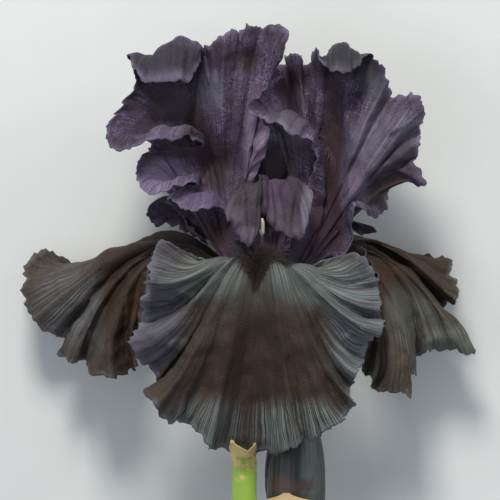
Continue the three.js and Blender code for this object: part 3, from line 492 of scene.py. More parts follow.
def petalSheet(name, acrossSteps, along):
    # the middle of the petal, as a grid of points across and along
    petal = petals[name]
    edge = throughRows(rimRows(name, petal))
    heart = evenedOut(edge, petal["spread"])
    place = np.linspace(0, rimSamples - 1, acrossSteps)
    edge, heart = (
        np.stack([np.interp(place, np.arange(rimSamples), column) for column in line.T], 1)
        for line in (edge, heart)
    )
    side = np.linspace(1, -1, acrossSteps)[:, None]
    start = vec(*petal["claw"]) + side * vec(*petal["clawSide"])
    inner = heart[:, :3]
    haft = vec(*petal["haft"])
    over = petal.get("haftOver", np.linalg.norm(haft))
    ease = np.minimum(np.linalg.norm(inner - start, axis=1) / over, 1)[:, None]
    arch = (1 - side ** 2) ** 2 * vec(*petal.get("haftArch", (0, 0, 0)))
    first = start + ease * (haft + side * vec(*petal["haftSide"]) + arch)
    first = first + petal.get("lean", 0) * (inner - start)
    second = inner + heart[:, 3:]
    t = along[None, :, None]
    sheet = (
        (1 - t) ** 3 * start[:, None] + 3 * (1 - t) ** 2 * t * first[:, None]
        + 3 * (1 - t) * t ** 2 * second[:, None] + t ** 3 * inner[:, None]
    )
    sheet = sheet + (edge[:, :3] - inner)[:, None] * t ** petal["depth"]
    return aboveTable(sheet, petalFlesh["clawThickness"] / 2)


# How a petal's thin flesh swells and crinkles, in millimetres.
petalFlesh = {
    "acrossSteps": 360, "alongSteps": 70,    # cells of the grid
    "rimGather": 1.15,        # rows of the grid gather towards the rim
    "clawThickness": 0.6, "rimThickness": 0.3,
    "swell": 1.0,             # soft rises and hollows, all over
    "ripple": 0.42,           # smaller ones
    "crinkle": 0.2,           # crepe
    "pleat": 0.8,             # radiating pleats near the hem
    "frill": 1.8,             # small waves of the hem, out of the sheet
    "scallop": 0.9,           # wider waves of the hem's outline
    "notch": 0.9,             # small notches of the hem, in the sheet
}
# How long each wave is, in millimetres.
waveLengths = {
    "swell": 8.5, "ripple": 3.4, "crinkle": 1.5, "pleat": 3.8, "frill": 3.6, "fineFrill": 1.3, "notch": 1.7,
    "fineNotch": 0.8, "scallop": 3.2,
}
# The waves all over a petal, each with where along it the wave starts and is full.
wavesAllOver = [("swell", 0.15, 0.6), ("ripple", 0.15, 0.6), ("crinkle", 0.2, 0.9)]

# Rises of a petal towards the viewer, and hollows where the height is below zero, seen from above:
# middle x and y, reach x and y, turn in degrees, height.
petalRises = {
    "standard_left": [
        (-2, 44, 4.5, 24, 0, 2.5), (-4.5, 68.5, 4, 6, 0, -3.5), (-15, 33, 9, 8, 0, -5),
        (-31, 50, 9, 5, 0, 1.5), (12, 63, 3, 9, 15, -2),
    ],
    "standard_right": [
        (23.5, 38, 5, 26, 0, -2), (10, 60, 6, 7, 0, -4), (40, 43, 12, 12, 0, 2.5), (41, 26, 9, 5, 30, -3),
    ],
    "standard_back": [(20, 42, 14, 30, 0, -4)],
    "fall_front": [(0, -36, 18, 20, 0, -2.5), (-29, -14, 6, 5, 0, -1.5), (28, -20, 7, 5, -30, 1.5)],
    "fall_left": [(-54, -18, 4, 16, 10, 1.2), (-43, -16, 3, 16, 0, -1.0), (-66, -14, 6, 12, 0, 2)],
    "fall_right": [(46, -20, 4, 10, 8, 1.2), (55, -16, 4, 12, 20, -1.2), (64, -26, 9, 4, 0, 1.5)],
}

# Creases: from x, y to x, y the petal steps up on the right of the line, and falls away over its width.
petalCreases = {
    "standard_left": [
        (-23, 43, -21.5, 66, 6, 3.5), (-38, 59, -37, 48, 3, 1.2), (-37, 48, -24, 42, 3, 1.2),
        (-42, 41, -20, 39, 4, 1.2), (-14, 62, -13, 76, 3, 1.5), (-28, 61, -26.5, 77, 3, 1.4),
        (-37, 76, -36, 61, 3, 1.2),
    ],
    "standard_right": [
        (28, 19, 27.3, 54, 9, 5.5), (53, 27.5, 41, 33, 6, 2.5), (41, 33, 29.5, 21.5, 6, 2.5),
        (52.5, 48, 42, 43, 4, 1.6), (12, 56, 24, 34, 4, 2.0), (18, 66, 17, 52, 3, 2.0),
        (24.5, 62, 23.5, 76, 2.5, 1.2), (31.5, 76, 31, 62, 2.5, 1.2),
    ],
    "fall_front": [
        (-24, -11, -39, -5.5, 4, 2.2), (-25, -30, -40, -22, 5, 1.5), (26, -24, 39, -16, 5, 2.0),
        (24, -9, 38, -4, 5, 1.5),
    ],
    "fall_left": [(-46, -30, -45, 2, 4, 1.0), (-58, -30, -57, 0, 4, 1.4)],
    "style_arm_front": [
        (-6, 26, -5, 6, 2.5, 1.8), (3, 27, 4, 12, 2.5, 1.6), (11, 26, 8, 6, 2.5, 1.9),
        (-12, 17, -3, 12, 2, 1.3), (5, 13, 13, 10, 2, 1.3),
    ],
    "fall_right": [(42, -36, 41, -14, 4, 1.6), (53, -28, 51, -14, 4, 1.4)],
}
riseFall = 1.2       # how fast a rise falls off towards its reach
creaseEnds = 0.2     # share of a crease over which it fades, at each end
creaseStep = 0.6     # half the width of its step


def towardsViewer(name, x, y):
    # the height of a petal's rises and creases at x, y
    lift = np.zeros_like(x)
    for middleX, middleY, reachX, reachY, turn, height in petalRises.get(name, ()):
        cos, sin = math.cos(math.radians(turn)), math.sin(math.radians(turn))
        u = ((x - middleX) * cos + (y - middleY) * sin) / reachX
        v = ((y - middleY) * cos - (x - middleX) * sin) / reachY
        lift += height * np.exp(-riseFall * (u * u + v * v))
    for startX, startY, endX, endY, width, height in petalCreases.get(name, ()):
        length = math.hypot(endX - startX, endY - startY)
        wayX, wayY = (endX - startX) / length, (endY - startY) / length
        passed = ((x - startX) * wayX + (y - startY) * wayY) / length
        side = (x - startX) * wayY - (y - startY) * wayX
        ends = smooth(passed, -creaseEnds, creaseEnds) * smooth(passed, 1 + creaseEnds, 1 - creaseEnds)
        lift += height * ends * smooth(side, -creaseStep, creaseStep) * np.exp(-np.maximum(side, 0) / width)
    return lift


def crinkled(name, sheet, along, flesh, seed):
    across = np.linspace(0, 1, sheet.shape[0])[:, None]
    t = along[None, :]
    sheet[..., 2] += towardsViewer(name, sheet[..., 0], sheet[..., 1]) * smooth(t, 0.08, 0.35)
    normal = sheetNormals(sheet)
    lengths = np.linalg.norm(np.diff(sheet[:, -1], axis=0), axis=1)
    around = np.concatenate([[0], np.cumsum(lengths)])[:, None]    # millimetres along the hem
    x, y = sheet[..., 0] + 0.7 * sheet[..., 2], sheet[..., 1] + 0.5 * sheet[..., 2]

    def waves(kind, u, v, number):
        return softNoise(u / waveLengths[kind], v, seed + number)

    lift = np.zeros_like(x)
    for number, (kind, low, high) in enumerate(wavesAllOver):
        lift += flesh[kind] * waves(kind, x, y / waveLengths[kind], number) * smooth(t, low, high)
    lift += flesh["pleat"] * waves("pleat", around, t * 2.5, 3) * t ** 2
    frill = waves("frill", around, t * 0.5, 4) + 0.45 * waves("fineFrill", around, t * 0.5, 5)
    lift += flesh["frill"] * frill * t ** 7
    outward = unit(np.gradient(sheet, axis=1))
    notch = waves("notch", around, 0.3, 6) + 0.6 * waves("fineNotch", around, 0.7, 7)
    ends = smooth(across, 0.0, 0.04) * smooth(1 - across, 0.0, 0.04)
    outline = flesh["notch"] * notch * t ** 12 + flesh["scallop"] * waves("scallop", around, 0.5, 8) * t ** 6
    return sheet + (normal * lift[..., None] + outward * outline[..., None]) * ends[..., None]


def petalObject(name, node, flesh, seed):
    along = np.linspace(0, 1, flesh["alongSteps"] + 1) ** (1 / flesh["rimGather"])
    sheet = crinkled(node, petalSheet(node, flesh["acrossSteps"] + 1, along), along, flesh, seed)
    sheet = aboveTable(sheet, flesh["clawThickness"] / 2)
    thickness = flesh["clawThickness"] + (flesh["rimThickness"] - flesh["clawThickness"]) * smooth(along)
    across = np.linspace(0, 1, flesh["acrossSteps"] + 1)
    return bladeObject(name, sheet, thickness, gridMap(across[:, None], along))


# Satin black petals: base colour and a lit colour painted on as satin highlights along the veins and crepe,
# the hem with its painted rim highlight, veins, gloss and sheen.
petalLooks = {
    "fall": {
        "dark": (0.036, 0.022, 0.015), "light": (0.078, 0.08, 0.074), "hem": (0.17, 0.175, 0.215),
        "lit": 0.6, "hemWidth": 0.022, "veinsAcross": 215, "rough": 0.5, "sheen": 0.07,
        "sheenTint": (0.6, 0.8, 0.8, 1), "backMidrib": (0.06, 0.05, 0.03),
    },
    "sideFall": {
        "dark": (0.038, 0.021, 0.011), "light": (0.09, 0.094, 0.082), "hem": (0.14, 0.145, 0.15),
        "lit": 0.6, "hemWidth": 0.022, "veinsAcross": 185, "rough": 0.52, "sheen": 0.035,
        "sheenTint": (0.75, 0.8, 0.72, 1), "backMidrib": (0.06, 0.05, 0.03),
    },
    "standard": {
        "dark": (0.034, 0.018, 0.032), "light": (0.185, 0.155, 0.265), "hem": (0.18, 0.15, 0.225),
        "lit": 0.8, "hemWidth": 0.022, "veinsAcross": 200, "rough": 0.46, "sheen": 0.08,
        "sheenTint": (0.72, 0.66, 0.95, 1), "backMidrib": (0.045, 0.02, 0.02),
    },
    "styleArm": {
        "dark": (0.03, 0.019, 0.027), "light": (0.07, 0.052, 0.08), "hem": (0.11, 0.092, 0.118),
        "lit": 0.7, "hemWidth": 0.08, "veinsAcross": 60, "rough": 0.44, "sheen": 0.06,
        "sheenTint": (0.85, 0.7, 0.92, 1), "backMidrib": (0.045, 0.025, 0.03),
    },
}

# Painted light and shade laid over parts of a petal, with some of its own colour such as the falls'
# brown-black middles: painted highlights and sky reflections where folds face the light, painted shade in
# hollows, channels and under the style arms. Seen from above in flower
# millimetres: middle x and y, reach x and y, turn in degrees, colour, strength, and how far its veins break
# it up.
petalPaintedLightAndTones = {
    "fall_front": [
        (-20, -4, 24, 10, 6, (0.175, 0.215, 0.2), 0.85, 0.9),
        (20, -5, 24, 12, -6, (0.175, 0.22, 0.21), 0.9, 0.9),
        (0, -12, 20, 10, 0, (0.11, 0.13, 0.125), 0.6, 0.95),
        (0, -32, 27, 29, 0, (0.034, 0.017, 0.009), 1, 0),
        (-34, -12, 12, 26, 0, (0.11, 0.108, 0.13), 0.8, 0.7),
        (-37, -22, 10, 16, 0, (0.1, 0.092, 0.13), 0.7, 0.6),
        (32, -20, 14, 26, 0, (0.15, 0.17, 0.18), 0.85, 0.8),
        (-20, -54, 18, 12, 15, (0.145, 0.17, 0.165), 0.85, 0.95),
        (14, -55, 24, 13, -8, (0.17, 0.205, 0.195), 0.9, 0.95),
    ],
    "fall_left": [
        (-64, -14, 18, 20, 20, (0.108, 0.112, 0.118), 0.8, 0.8),
        (-45, -12, 12, 27, 0, (0.03, 0.015, 0.007), 1, 0),
        (-28, 4, 14, 8, 0, (0.034, 0.02, 0.014), 0.9, 0),
    ],
    "fall_right": [
        (48, -3, 20, 13, 0, (0.03, 0.013, 0.004), 1, 0),
        (50, -18, 14, 16, 0, (0.112, 0.124, 0.108), 0.75, 0.8),
        (42, -33, 8, 10, 0, (0.095, 0.078, 0.06), 0.8, 0.3),
        (64, -26, 12, 8, 0, (0.15, 0.17, 0.145), 0.7, 0.7),
        (32, 4, 10, 8, 0, (0.034, 0.02, 0.014), 0.9, 0),
    ],
    "standard_left": [
        (-2, 38, 5, 26, 0, (0.27, 0.19, 0.28), 0.9, 0.45),
        (-31, 55, 11, 6, -15, (0.052, 0.034, 0.04), 0.9, 0),
        (-23, 46, 5, 12, 0, (0.042, 0.026, 0.03), 0.9, 0),
        (-31, 45.5, 9, 3.5, 5, (0.165, 0.14, 0.195), 0.7, 0.5),
        (-34, 37.5, 14, 4, 0, (0.034, 0.02, 0.026), 0.8, 0.1),
        (-16, 34, 8, 10, 0, (0.032, 0.018, 0.02), 0.95, 0),
        (-4.5, 68.5, 4.5, 6, 0, (0.032, 0.019, 0.022), 0.9, 0),
        (-31, 67, 17, 11, 0, (0.015, 0.012, 0.024), 1, 0.3),
        (-17, 58, 6, 9, 0, (0.115, 0.112, 0.15), 0.7, 0.4),
        (-33, 29, 11, 8, 30, (0.23, 0.185, 0.28), 0.85, 0.6),
        (-20, 22, 16, 5, -12, (0.13, 0.105, 0.19), 0.7, 0.4),
        (-20, 10, 14, 8, 0, (0.04, 0.02, 0.018), 0.9, 0),
    ],
    "standard_right": [
        (23.5, 40, 4.5, 28, 0, (0.046, 0.024, 0.03), 1, 0),
        (22, 14, 9, 14, 0, (0.042, 0.018, 0.026), 0.9, 0),
        (41, 41, 15, 15, 0, (0.165, 0.148, 0.205), 0.85, 0.6),
        (47, 35, 8, 10, 0, (0.036, 0.024, 0.036), 0.85, 0.15),
        (31, 24, 6, 12, 0, (0.2, 0.165, 0.235), 0.8, 0.7),
        (42, 25, 11, 6, 30, (0.04, 0.026, 0.02), 0.9, 0.1),
        (38, 60, 10, 6, -20, (0.055, 0.062, 0.078), 0.7, 0.5),
        (27.5, 69, 15, 9, 0, (0.014, 0.014, 0.016), 1, 0.25),
        (9, 61, 7, 8, 0, (0.085, 0.058, 0.064), 0.95, 0.1),
        (8, 46, 10, 8, -35, (0.125, 0.115, 0.15), 0.6, 0.5),
        (5, 30, 9, 12, 0, (0.034, 0.02, 0.024), 0.8, 0),
    ],
    "standard_back": [(8, 30, 14, 16, 0, (0.034, 0.02, 0.026), 0.8, 0.1)],
    "style_arm_front": [
        (4.5, 24, 6, 9, 0, (0.062, 0.034, 0.072), 0.9, 0.2),
        (-3.5, 26, 3, 8, 0, (0.044, 0.038, 0.04), 0.8, 0.2),
        (-5, 15.5, 8, 3.5, -8, (0.03, 0.018, 0.024), 0.95, 0),
        (8, 13, 7, 3.5, 35, (0.034, 0.022, 0.03), 0.9, 0),
        (-5, 9, 6, 5, 0, (0.135, 0.104, 0.15), 0.9, 0.4),
        (15.5, 18, 3.5, 12, 0, (0.185, 0.172, 0.215), 0.9, 0.4),
        (3, 8, 3.5, 5, 0, (0.03, 0.02, 0.028), 0.9, 0),
        (10, 9, 5, 4, 0, (0.115, 0.095, 0.12), 0.7, 0.5),
    ],
}


def forkedVeins(finish, across, along, count):
    # fine veins that fork twice on their way to the hem
    wander = finish.noise(finish.vector(across * 6.0, along * 3.0), 1.0) - 0.5
    lane = across + wander * 0.01
    near, middle, far = (
        finish.noise(finish.vector(lane * (count * fork) + 7.3 * fork, along * (0.8 + 0.5 * fork)), 1.0, 1.0)
        for fork in (1, 2, 4)
    )
    vein = near + (middle - near) * along.step(0.15, 0.5)
    return vein + (far - vein) * along.step(0.45, 1.0) * 0.7


petalSurface = {
    "patch": 110, "crepe": 1500, "grain": 5200,    # noise scales, from coarse to fine
    "bump": 0.8, "depth": 0.0005, "sheenRough": 0.45, "specular": 0.27,
}


def petalMaterial(name, look, paintedLightAndTones, back=False):
    finish = Finish(name)
    across, along = finish.veins()
    place = finish.place()
    vein = forkedVeins(finish, across, along, look["veinsAcross"])
    streak = vein.step(0.44, 0.6)
    patch = finish.noise(place, petalSurface["patch"], 4.0, 0.6).step(0.36, 0.64)
    crepe = finish.noise(place, petalSurface["crepe"], 3.0, 0.6)
    grain = finish.noise(place, petalSurface["grain"], 2.0, 0.6)
    # the veins and crepe, partly their own colour and partly painted satin highlights, mixed towards the lit
    # colour
    veinsAndPaintedSheen = (streak * 0.4 + crepe.step(0.44, 0.66) * 0.75) * (0.15 + 0.85 * patch)
    colour = finish.mix((veinsAndPaintedSheen * look["lit"]).inside(), look["dark"], look["light"])
    # painted light and shade, with some of the petal's own colour, mixed in zone by zone
    for x, y, reachX, reachY, turn, tint, much, veined in paintedLightAndTones:
        zone = finish.near(place, (x, y), (reachX, reachY), turn)
        colour = finish.mix(zone * much * ((1 - veined) + veined * streak * 1.15), colour, tint)
    # a lighter colour painted along the hem: a painted highlight where the rim catches the light
    hem = along.step(1.0 - look["hemWidth"] * 2, 1.0) * (0.15 + 0.5 * patch)
    colour = finish.mix(hem.inside(), colour, look["hem"])
    if back:
        offMiddle = finish.node("ShaderNodeMath", {"operation": "ABSOLUTE"}, {0: across - 0.5})
        midrib = 1.0 - offMiddle.step(0.0, 0.12)
        colour = finish.mix(midrib * (1.0 - along.step(0.1, 0.7)) * 0.7, colour, look["backMidrib"])
    rough = look["rough"] - 0.12 * streak + 0.12 * grain
    height = vein * 0.5 + crepe * 0.9 + grain * 0.2
    return finish.done(
        colour, rough, height, bump=petalSurface["bump"], depth=petalSurface["depth"],
        Sheen_Weight=look["sheen"], Sheen_Roughness=petalSurface["sheenRough"], Sheen_Tint=look["sheenTint"],
        Specular_IOR_Level=petalSurface["specular"],
    )


def petalFinish(name, look):
    look, paintedLightAndTones = petalLooks[look], petalPaintedLightAndTones.get(name, ())
    return petalMaterial(name + "Face", look, paintedLightAndTones), petalMaterial(name + "Back", look, paintedLightAndTones, back=True)


fallFlesh = dict(petalFlesh, pleat=0.35, frill=2.4, swell=0.8)    # a calmer blade with a livelier hem
petalJobs = {
    "fall_front": ("fall", fallFlesh), "fall_left": ("sideFall", fallFlesh),
    "fall_right": ("sideFall", fallFlesh), "standard_left": ("standard", petalFlesh),
    "standard_right": ("standard", petalFlesh), "standard_back": ("standard", petalFlesh),
}
for number, (name, (look, flesh)) in enumerate(petalJobs.items()):
    piece = petalObject(name + "_petal", name, flesh, 100 + 20 * number)
    dress(piece, name, name.split("_")[0], *petalFinish(name, look))
print("falls and standards made")

styleFlesh = dict(
    petalFlesh, acrossSteps=180, alongSteps=40, swell=0.5, ripple=0.55, pleat=0.7, frill=1.0, notch=1.1,
    scallop=0.5,
)
for number, name in enumerate(("style_arm_front", "style_arm_left", "style_arm_right")):
    piece = petalObject(name + "_crest", name, styleFlesh, 300 + 20 * number)
    dress(piece, name, "style_arm", *petalFinish(name, "styleArm"))
print("style arms made")


# Beards: soft hairs on the middle vein of each fall.
sideBeard = {"span": (0.16, 0.44), "hairs": 900, "width": 2.4, "length": 3.6}
beards = {
    "beard_front": {
        "fall": "fall_front", "across": 0.5, "span": (0.12, 0.46), "hairs": 2600, "width": 8.5,
        "length": 6.0,
    },
    "beard_left": {"fall": "fall_left", "across": 0.47, **sideBeard},
    "beard_right": {"fall": "fall_right", "across": 0.5, **sideBeard},
}
hairShape = {
    "sides": 3, "steps": 4, "radius": 0.1, "droop": 0.9, "shortest": 0.55, "splay": 0.55,
    "scatter": 0.38,    # how far roots stray from the vein, as a share of the beard's width
    "lift": 0.35,       # height of the roots over the petal
    "dome": 0.22,       # what that height gains for each millimetre out
}


def hairFaces(rings, sides):
    # the faces of one closed hair
    faces = [[(rings - 1) * sides + j for j in range(sides)], [sides - 1 - j for j in range(sides)]]
    for i in range(rings - 1):
        here, above = i * sides, (i + 1) * sides
        for j in range(sides):
            after = (j + 1) % sides
            faces.append([here + j, here + after, above + after, above + j])
    return faces


def beardObject(name, beard, seed):
    random = np.random.default_rng(seed)
    count = beard["hairs"]
    low, high = beard["span"]
    acrossSteps, alongSteps = 400, 240
    sheet = petalSheet(beard["fall"], acrossSteps + 1, np.linspace(0, 1, alongSteps + 1))
    middle = int(round(beard["across"] * acrossSteps))
    spine, up = sheet[middle], sheetNormals(sheet)[middle]
    up = np.where((up @ vec(0, 1, 1))[:, None] < 0, -up, up)
    way = unit(np.gradient(spine, axis=0))
    sideways = np.cross(way, up)
    part = (np.arange(count) + random.uniform(0, 1, count)) / count    # 0 to 1 along the beard
    k = np.clip(((low + (high - low) * part) * alongSteps).astype(int), 0, alongSteps)
    spine, up, way, sideways = spine[k], up[k], way[k], sideways[k]
    swell = smooth(part, -0.15, 0.2) * (1 - 0.88 * smooth(part, 0.45, 1.0))
    off = random.normal(0, hairShape["scatter"], count) * beard["width"] * swell
    rise = hairShape["lift"] + hairShape["dome"] * np.abs(off)
    root = spine + sideways * off[:, None] + up * rise[:, None]
    length = beard["length"] * swell * random.uniform(hairShape["shortest"], 1.0, count)
    lean = sideways * (off * hairShape["splay"] + random.normal(0, 0.35, count))[:, None]
    lean = lean + way * random.normal(-0.15, 0.4, count)[:, None]
    heading = unit(up + lean)
    bend = unit(sideways * np.sign(off)[:, None] + way * random.normal(0, 0.6, count)[:, None])
    s = np.linspace(0, 1, hairShape["steps"] + 1)
    droop = hairShape["droop"] * s ** 2 * random.uniform(0.1, 0.6, count)[:, None]
    line = root[:, None] + heading[:, None] * (length[:, None] * s)[..., None]
    line = line + bend[:, None] * droop[..., None]
    rings, sides = len(s), hairShape["sides"]
    angle = np.linspace(0, 2 * math.pi, sides, endpoint=False)[None, :, None]
    firstSide = unit(np.cross(heading, bend))
    secondSide = np.cross(heading, firstSide)
    spoke = firstSide[:, None] * np.cos(angle) + secondSide[:, None] * np.sin(angle)
    thick = hairShape["radius"] * (1.05 - s)
    points = (line[:, :, None] + spoke[:, None] * thick[None, :, None, None]).reshape(-1, 3)
    faces = []
    for base in range(0, len(points), rings * sides):
        faces.extend([base + corner for corner in face] for face in hairFaces(rings, sides))
    tip = np.broadcast_to(s[None, :, None], (count, rings, sides)).reshape(-1)
    who = np.repeat(random.uniform(0, 1, count), rings * sides)
    return meshObject(name, points, faces, np.stack([who, tip], 1))


def beardMaterial():
    finish = Finish("beardHair")
    who, tip = finish.veins()
    tone = finish.mix(who, (0.024, 0.013, 0.012), (0.056, 0.035, 0.034))
    colour = finish.mix(tip.step(0.55, 1.0) * 0.6, tone, (0.085, 0.058, 0.058))
    fuzz = finish.noise(finish.place(), 9000.0)
    return finish.done(colour, 0.6 + 0.2 * fuzz, Sheen_Weight=0.08, Sheen_Tint=(0.7, 0.6, 0.6, 1))


beardFinish = beardMaterial()
for number, (name, beard) in enumerate(beards.items()):
    dress(beardObject(name + "_hairs", beard, 500 + number), name, "beard", beardFinish)
print("beards made")


# Stamens: a thread and a long pollen sac under each style arm.
stamens = {
    "front": [(0, -10.3, 4.6), (0, 0, 7), (0, 6, 9.8), (0, 11, 12.2), (0, 15.6, 12.6)],
    "left": [(-3.9, -10.3, -2.2), (-6.5, -4, -3.4), (-11.5, 2.6, -5.2), (-16.5, 5.8, -7.4)],
    "right": [(3.9, -10.3, -2.2), (6.5, -4, -3.4), (11.5, 2.6, -5.2), (15.5, 4.8, -7.2)],
}


def stamenRadius(along, angle):
    sac = smooth(along, 0.68, 0.76) * (1 - smooth(along, 0.92, 1.0))
    groove = 1 - 0.16 * sac * (0.5 + 0.5 * np.cos(2 * angle)) ** 6
    return (0.42 + 0.55 * sac) * groove + 0.02


def stamenMaterial():
    finish = Finish("pollen")
    along = finish.veins()[1]
    grains = finish.noise(finish.place(), 5000.0, 2.0, 0.7)
    sac = along.step(0.68, 0.74)
    pollen = finish.mix(grains, (0.5, 0.42, 0.24), (0.8, 0.74, 0.55))
    colour = finish.mix(sac, (0.2, 0.14, 0.22), pollen)
    return finish.done(colour, 0.75 - 0.2 * (1.0 - sac), grains, bump=0.7, depth=0.0002)


pollenFinish = stamenMaterial()
for side, line in stamens.items():
    piece = limbObject("stamen_" + side + "_anther", line, stamenRadius, 60, 20)
    dress(piece, "stamen_" + side, "stamen", pollenFinish)
print("stamens made")


# Tube, ovary and stalk, waxy and green.
stalkX = -5.7
greens = {
    "stem": {"low": (0.2, 0.37, 0.025), "high": (0.31, 0.51, 0.05), "flush": (0.19, 0.17, 0.07)},
    "ovary": {"low": (0.15, 0.23, 0.06), "high": (0.26, 0.37, 0.11), "flush": (0.16, 0.13, 0.1)},
    "perianthTube": {"low": (0.06, 0.075, 0.035), "high": (0.12, 0.12, 0.06), "flush": (0.055, 0.035, 0.05)},
}


def greenMaterial(name, look):
    finish = Finish(name)
    around, along = finish.veins()
    place = finish.place()
    fibre = finish.noise(finish.vector(around * 60.0, along * 5.0), 1.0)
    fleck = finish.noise(place, 900.0, 3.0, 0.6)
    cloud = finish.noise(place, 90.0)
    colour = finish.mix((fibre * 0.6 + cloud * 0.4).step(0.35, 0.65), look["low"], look["high"])
    colour = finish.mix(fleck.step(0.56, 0.72) * 0.35, colour, look["flush"])
    height = fibre * 0.6 + fleck * 0.4
    return finish.done(colour, 0.42 + 0.16 * cloud, height, bump=0.4, depth=0.0002, Sheen_Weight=0.05)


tubeLine = [(0, -10.95, 0), (-0.8, -24, 0), (-3.4, -42, 0), (stalkX, -60, 0)]
ovaryLine = [(stalkX, -60.7, 0), (stalkX, -72, 0), (stalkX, -83.8, 0)]
stalkLine = [
    (stalkX, -84.3, 0), (stalkX, -96, -0.6), (-6.2, -110, -5), (-7, -124, -13.6), (-8, -137, -23.5),
    (-8.8, -144, -27.8), (-9.2, -150, -28.37),
]
branchLine = [(-7.1, -126, -15), (-4, -119, -11), (2, -111, -7), (7.4, -104.4, -5)]


def tubeRadius(along, angle):
    return (2.5 + 4.8 * (1 - smooth(along, 0, 0.3)) ** 2) * (1 + 0.05 * np.cos(6 * angle))


def ovaryRadius(along, angle):
    lobes = 1 + 0.07 * np.cos(3 * angle) + 0.02 * np.cos(6 * angle)
    return (1.85 + 0.35 * np.sin(math.pi * along)) * lobes


def stalkRadius(along, angle):
    node = 0.7 * np.exp(-(((along - 0.62) / 0.035) ** 2))
    rib = 1 + 0.012 * np.cos(22 * angle)
    return (2.1 + 0.6 * smooth(along, 0, 0.6) + node) * rib


def branchRadius(along, angle):
    return (1.9 + 0.7 * along ** 3) * (1 + 0.012 * np.cos(16 * angle))


greenFinish = {name: greenMaterial(name, look) for name, look in greens.items()}
limbJobs = [
    ("perianth_tube_skin", tubeLine, tubeRadius, 80, 60, "perianth_tube", "perianthTube"),
    ("ovary_skin", ovaryLine, ovaryRadius, 60, 60, "ovary", "ovary"),
    ("stem_stalk", stalkLine, stalkRadius, 160, 66, "stem", "stem"),
    ("stem_branch", branchLine, branchRadius, 60, 48, "stem", "stem"),
]
for name, line, radius, steps, sides, node, look in limbJobs:
    dress(limbObject(name, line, radius, steps, sides), node, node, greenFinish[look])
print("tube, ovary and stalk made")


# The furled bud beside the stem.
budX, budZ = 11.3, -5.0
budLine = [
    (6.6, -107.6, budZ - 0.7), (7.8, -103.6, budZ), (budX - 0.6, -90, budZ), (budX, -66, budZ),
    (budX - 0.5, -38, budZ + 0.5),
]
budBase = 0.27       # where the furled petals start along budLine; below it is the bud's own short stalk


def budProfile(along):
    base = np.sqrt(smooth(along, budBase - 0.04, 0.68))
    return 10.3 * base * np.sqrt(1 - smooth(along, 0.72, 1.04))


def budRadius(part, angle):
    along = budBase + (1 - budBase) * part
    turn = angle / (2 * math.pi) * 3 + 2.2 * along
    furl = 1 - 0.07 * (turn - np.floor(turn))
    ripple = 1 + 0.006 * np.sin(angle * 34 + 6 * along) * smooth(part, 0.02, 0.2)
    return budProfile(along) * furl * ripple


def budValveRadius(along, gap):
    return np.maximum(budProfile(along), 3.1 - 4 * (along - budBase)) + gap


def sheath(tipY):
    return [(stalkX, -99, -1.2), (stalkX, -96, -0.6), (stalkX, -84, 0), (stalkX, tipY, 0)]


# Papery valves, two round the stem and two round the bud. Each goes its reach along its line, and its tip
# starts at point. facing and wrap are degrees round the line; gap is the room it leaves round the bud.
stemValve = {"reach": 1, "wrap": 112, "point": 0.9, "slot": "spathe"}
budValve = {"line": budLine, "point": 0.72, "gather": 1.7, "slot": "bud_spathe"}
valves = {
    "spathe_left": {
        **stemValve, "line": sheath(-58.3), "radius": 4.1, "facing": 134, "flare": 2.1, "forward": 8.1,
    },
    "spathe_right": {
        **stemValve, "line": sheath(-59.3), "radius": 3.15, "facing": 42, "flare": 1.4, "forward": 7.75,
    },
    "bud_spathe_outer": {**budValve, "reach": 0.65, "gap": 3.1, "facing": 104, "wrap": 118, "blunt": 6},
    "bud_spathe_inner": {**budValve, "reach": 0.6, "gap": 1.8, "facing": -70, "wrap": 100, "blunt": 3},
}
valveRows, valveColumns = 56, 64


def valveObject(name, valve, seed):
    across = np.linspace(0, 1, valveRows)[:, None]
    along = 1 - (1 - np.linspace(0, 1, valveColumns)) ** valve.get("gather", 1)
    centre, right, up = alongCurve(valve["line"], along * valve["reach"])
    tip = smooth(along, valve["point"], 1)
    wrap = valve["wrap"] * (1 - 0.96 * tip ** valve.get("blunt", 1))
    angle = np.radians(valve["facing"] + (1 - 2 * across) * wrap)
    around = budValveRadius(valve["reach"] * along, valve["gap"]) if "gap" in valve else valve["radius"]
    r = around + valve.get("flare", 0) * tip + np.zeros_like(angle)
    edge = np.abs(1 - 2 * across)
    r = r + 0.22 * softNoise(across * 9, along[None, :] * 14, seed) * smooth(edge, 0.55, 1.0)
    r = r + 0.035 * np.cos(across * 2 * math.pi * 17)
    grid = centre + right * (r * np.cos(angle))[..., None] + up * (r * np.sin(angle))[..., None]
    grid[..., 2] += valve.get("forward", 0) * tip * (0.5 + 0.5 * np.sin(angle))
    thickness = 0.55 - 0.3 * smooth(along, 0.5, 1.0)
    return bladeObject(name, grid, thickness, gridMap(across, along), backIndex=0)


# Spathe paper goes from green to tan between the two turns, along the valve, with dry fibres in it.
spatheLooks = {
    "spathe": {
        "green": (0.26, 0.43, 0.045), "tan": (0.74, 0.54, 0.22), "dry": (0.36, 0.26, 0.08),
        "turn": (0.85, 0.93),
    },
    "bud_spathe": {
        "green": (0.22, 0.24, 0.09), "tan": (0.64, 0.45, 0.23), "dry": (0.4, 0.25, 0.12),
        "turn": (0.25, 0.7),
    },
}


def spatheMaterial(name, look):
    finish = Finish(name)
    across, along = finish.veins()
    place = finish.place()
    fibre = finish.noise(finish.vector(across * 70.0, along * 4.0), 1.0)
    cloud = finish.noise(place, 260.0, 3.0)
    colour = finish.mix((along + (cloud - 0.5) * 0.3).step(*look["turn"]), look["green"], look["tan"])
    colour = finish.mix(fibre.step(0.5, 0.7) * 0.45, colour, look["dry"])
    height = fibre + cloud * 0.5
    return finish.done(colour, 0.55 + 0.2 * cloud, height, bump=0.6, depth=0.0003, Sheen_Weight=0.1)


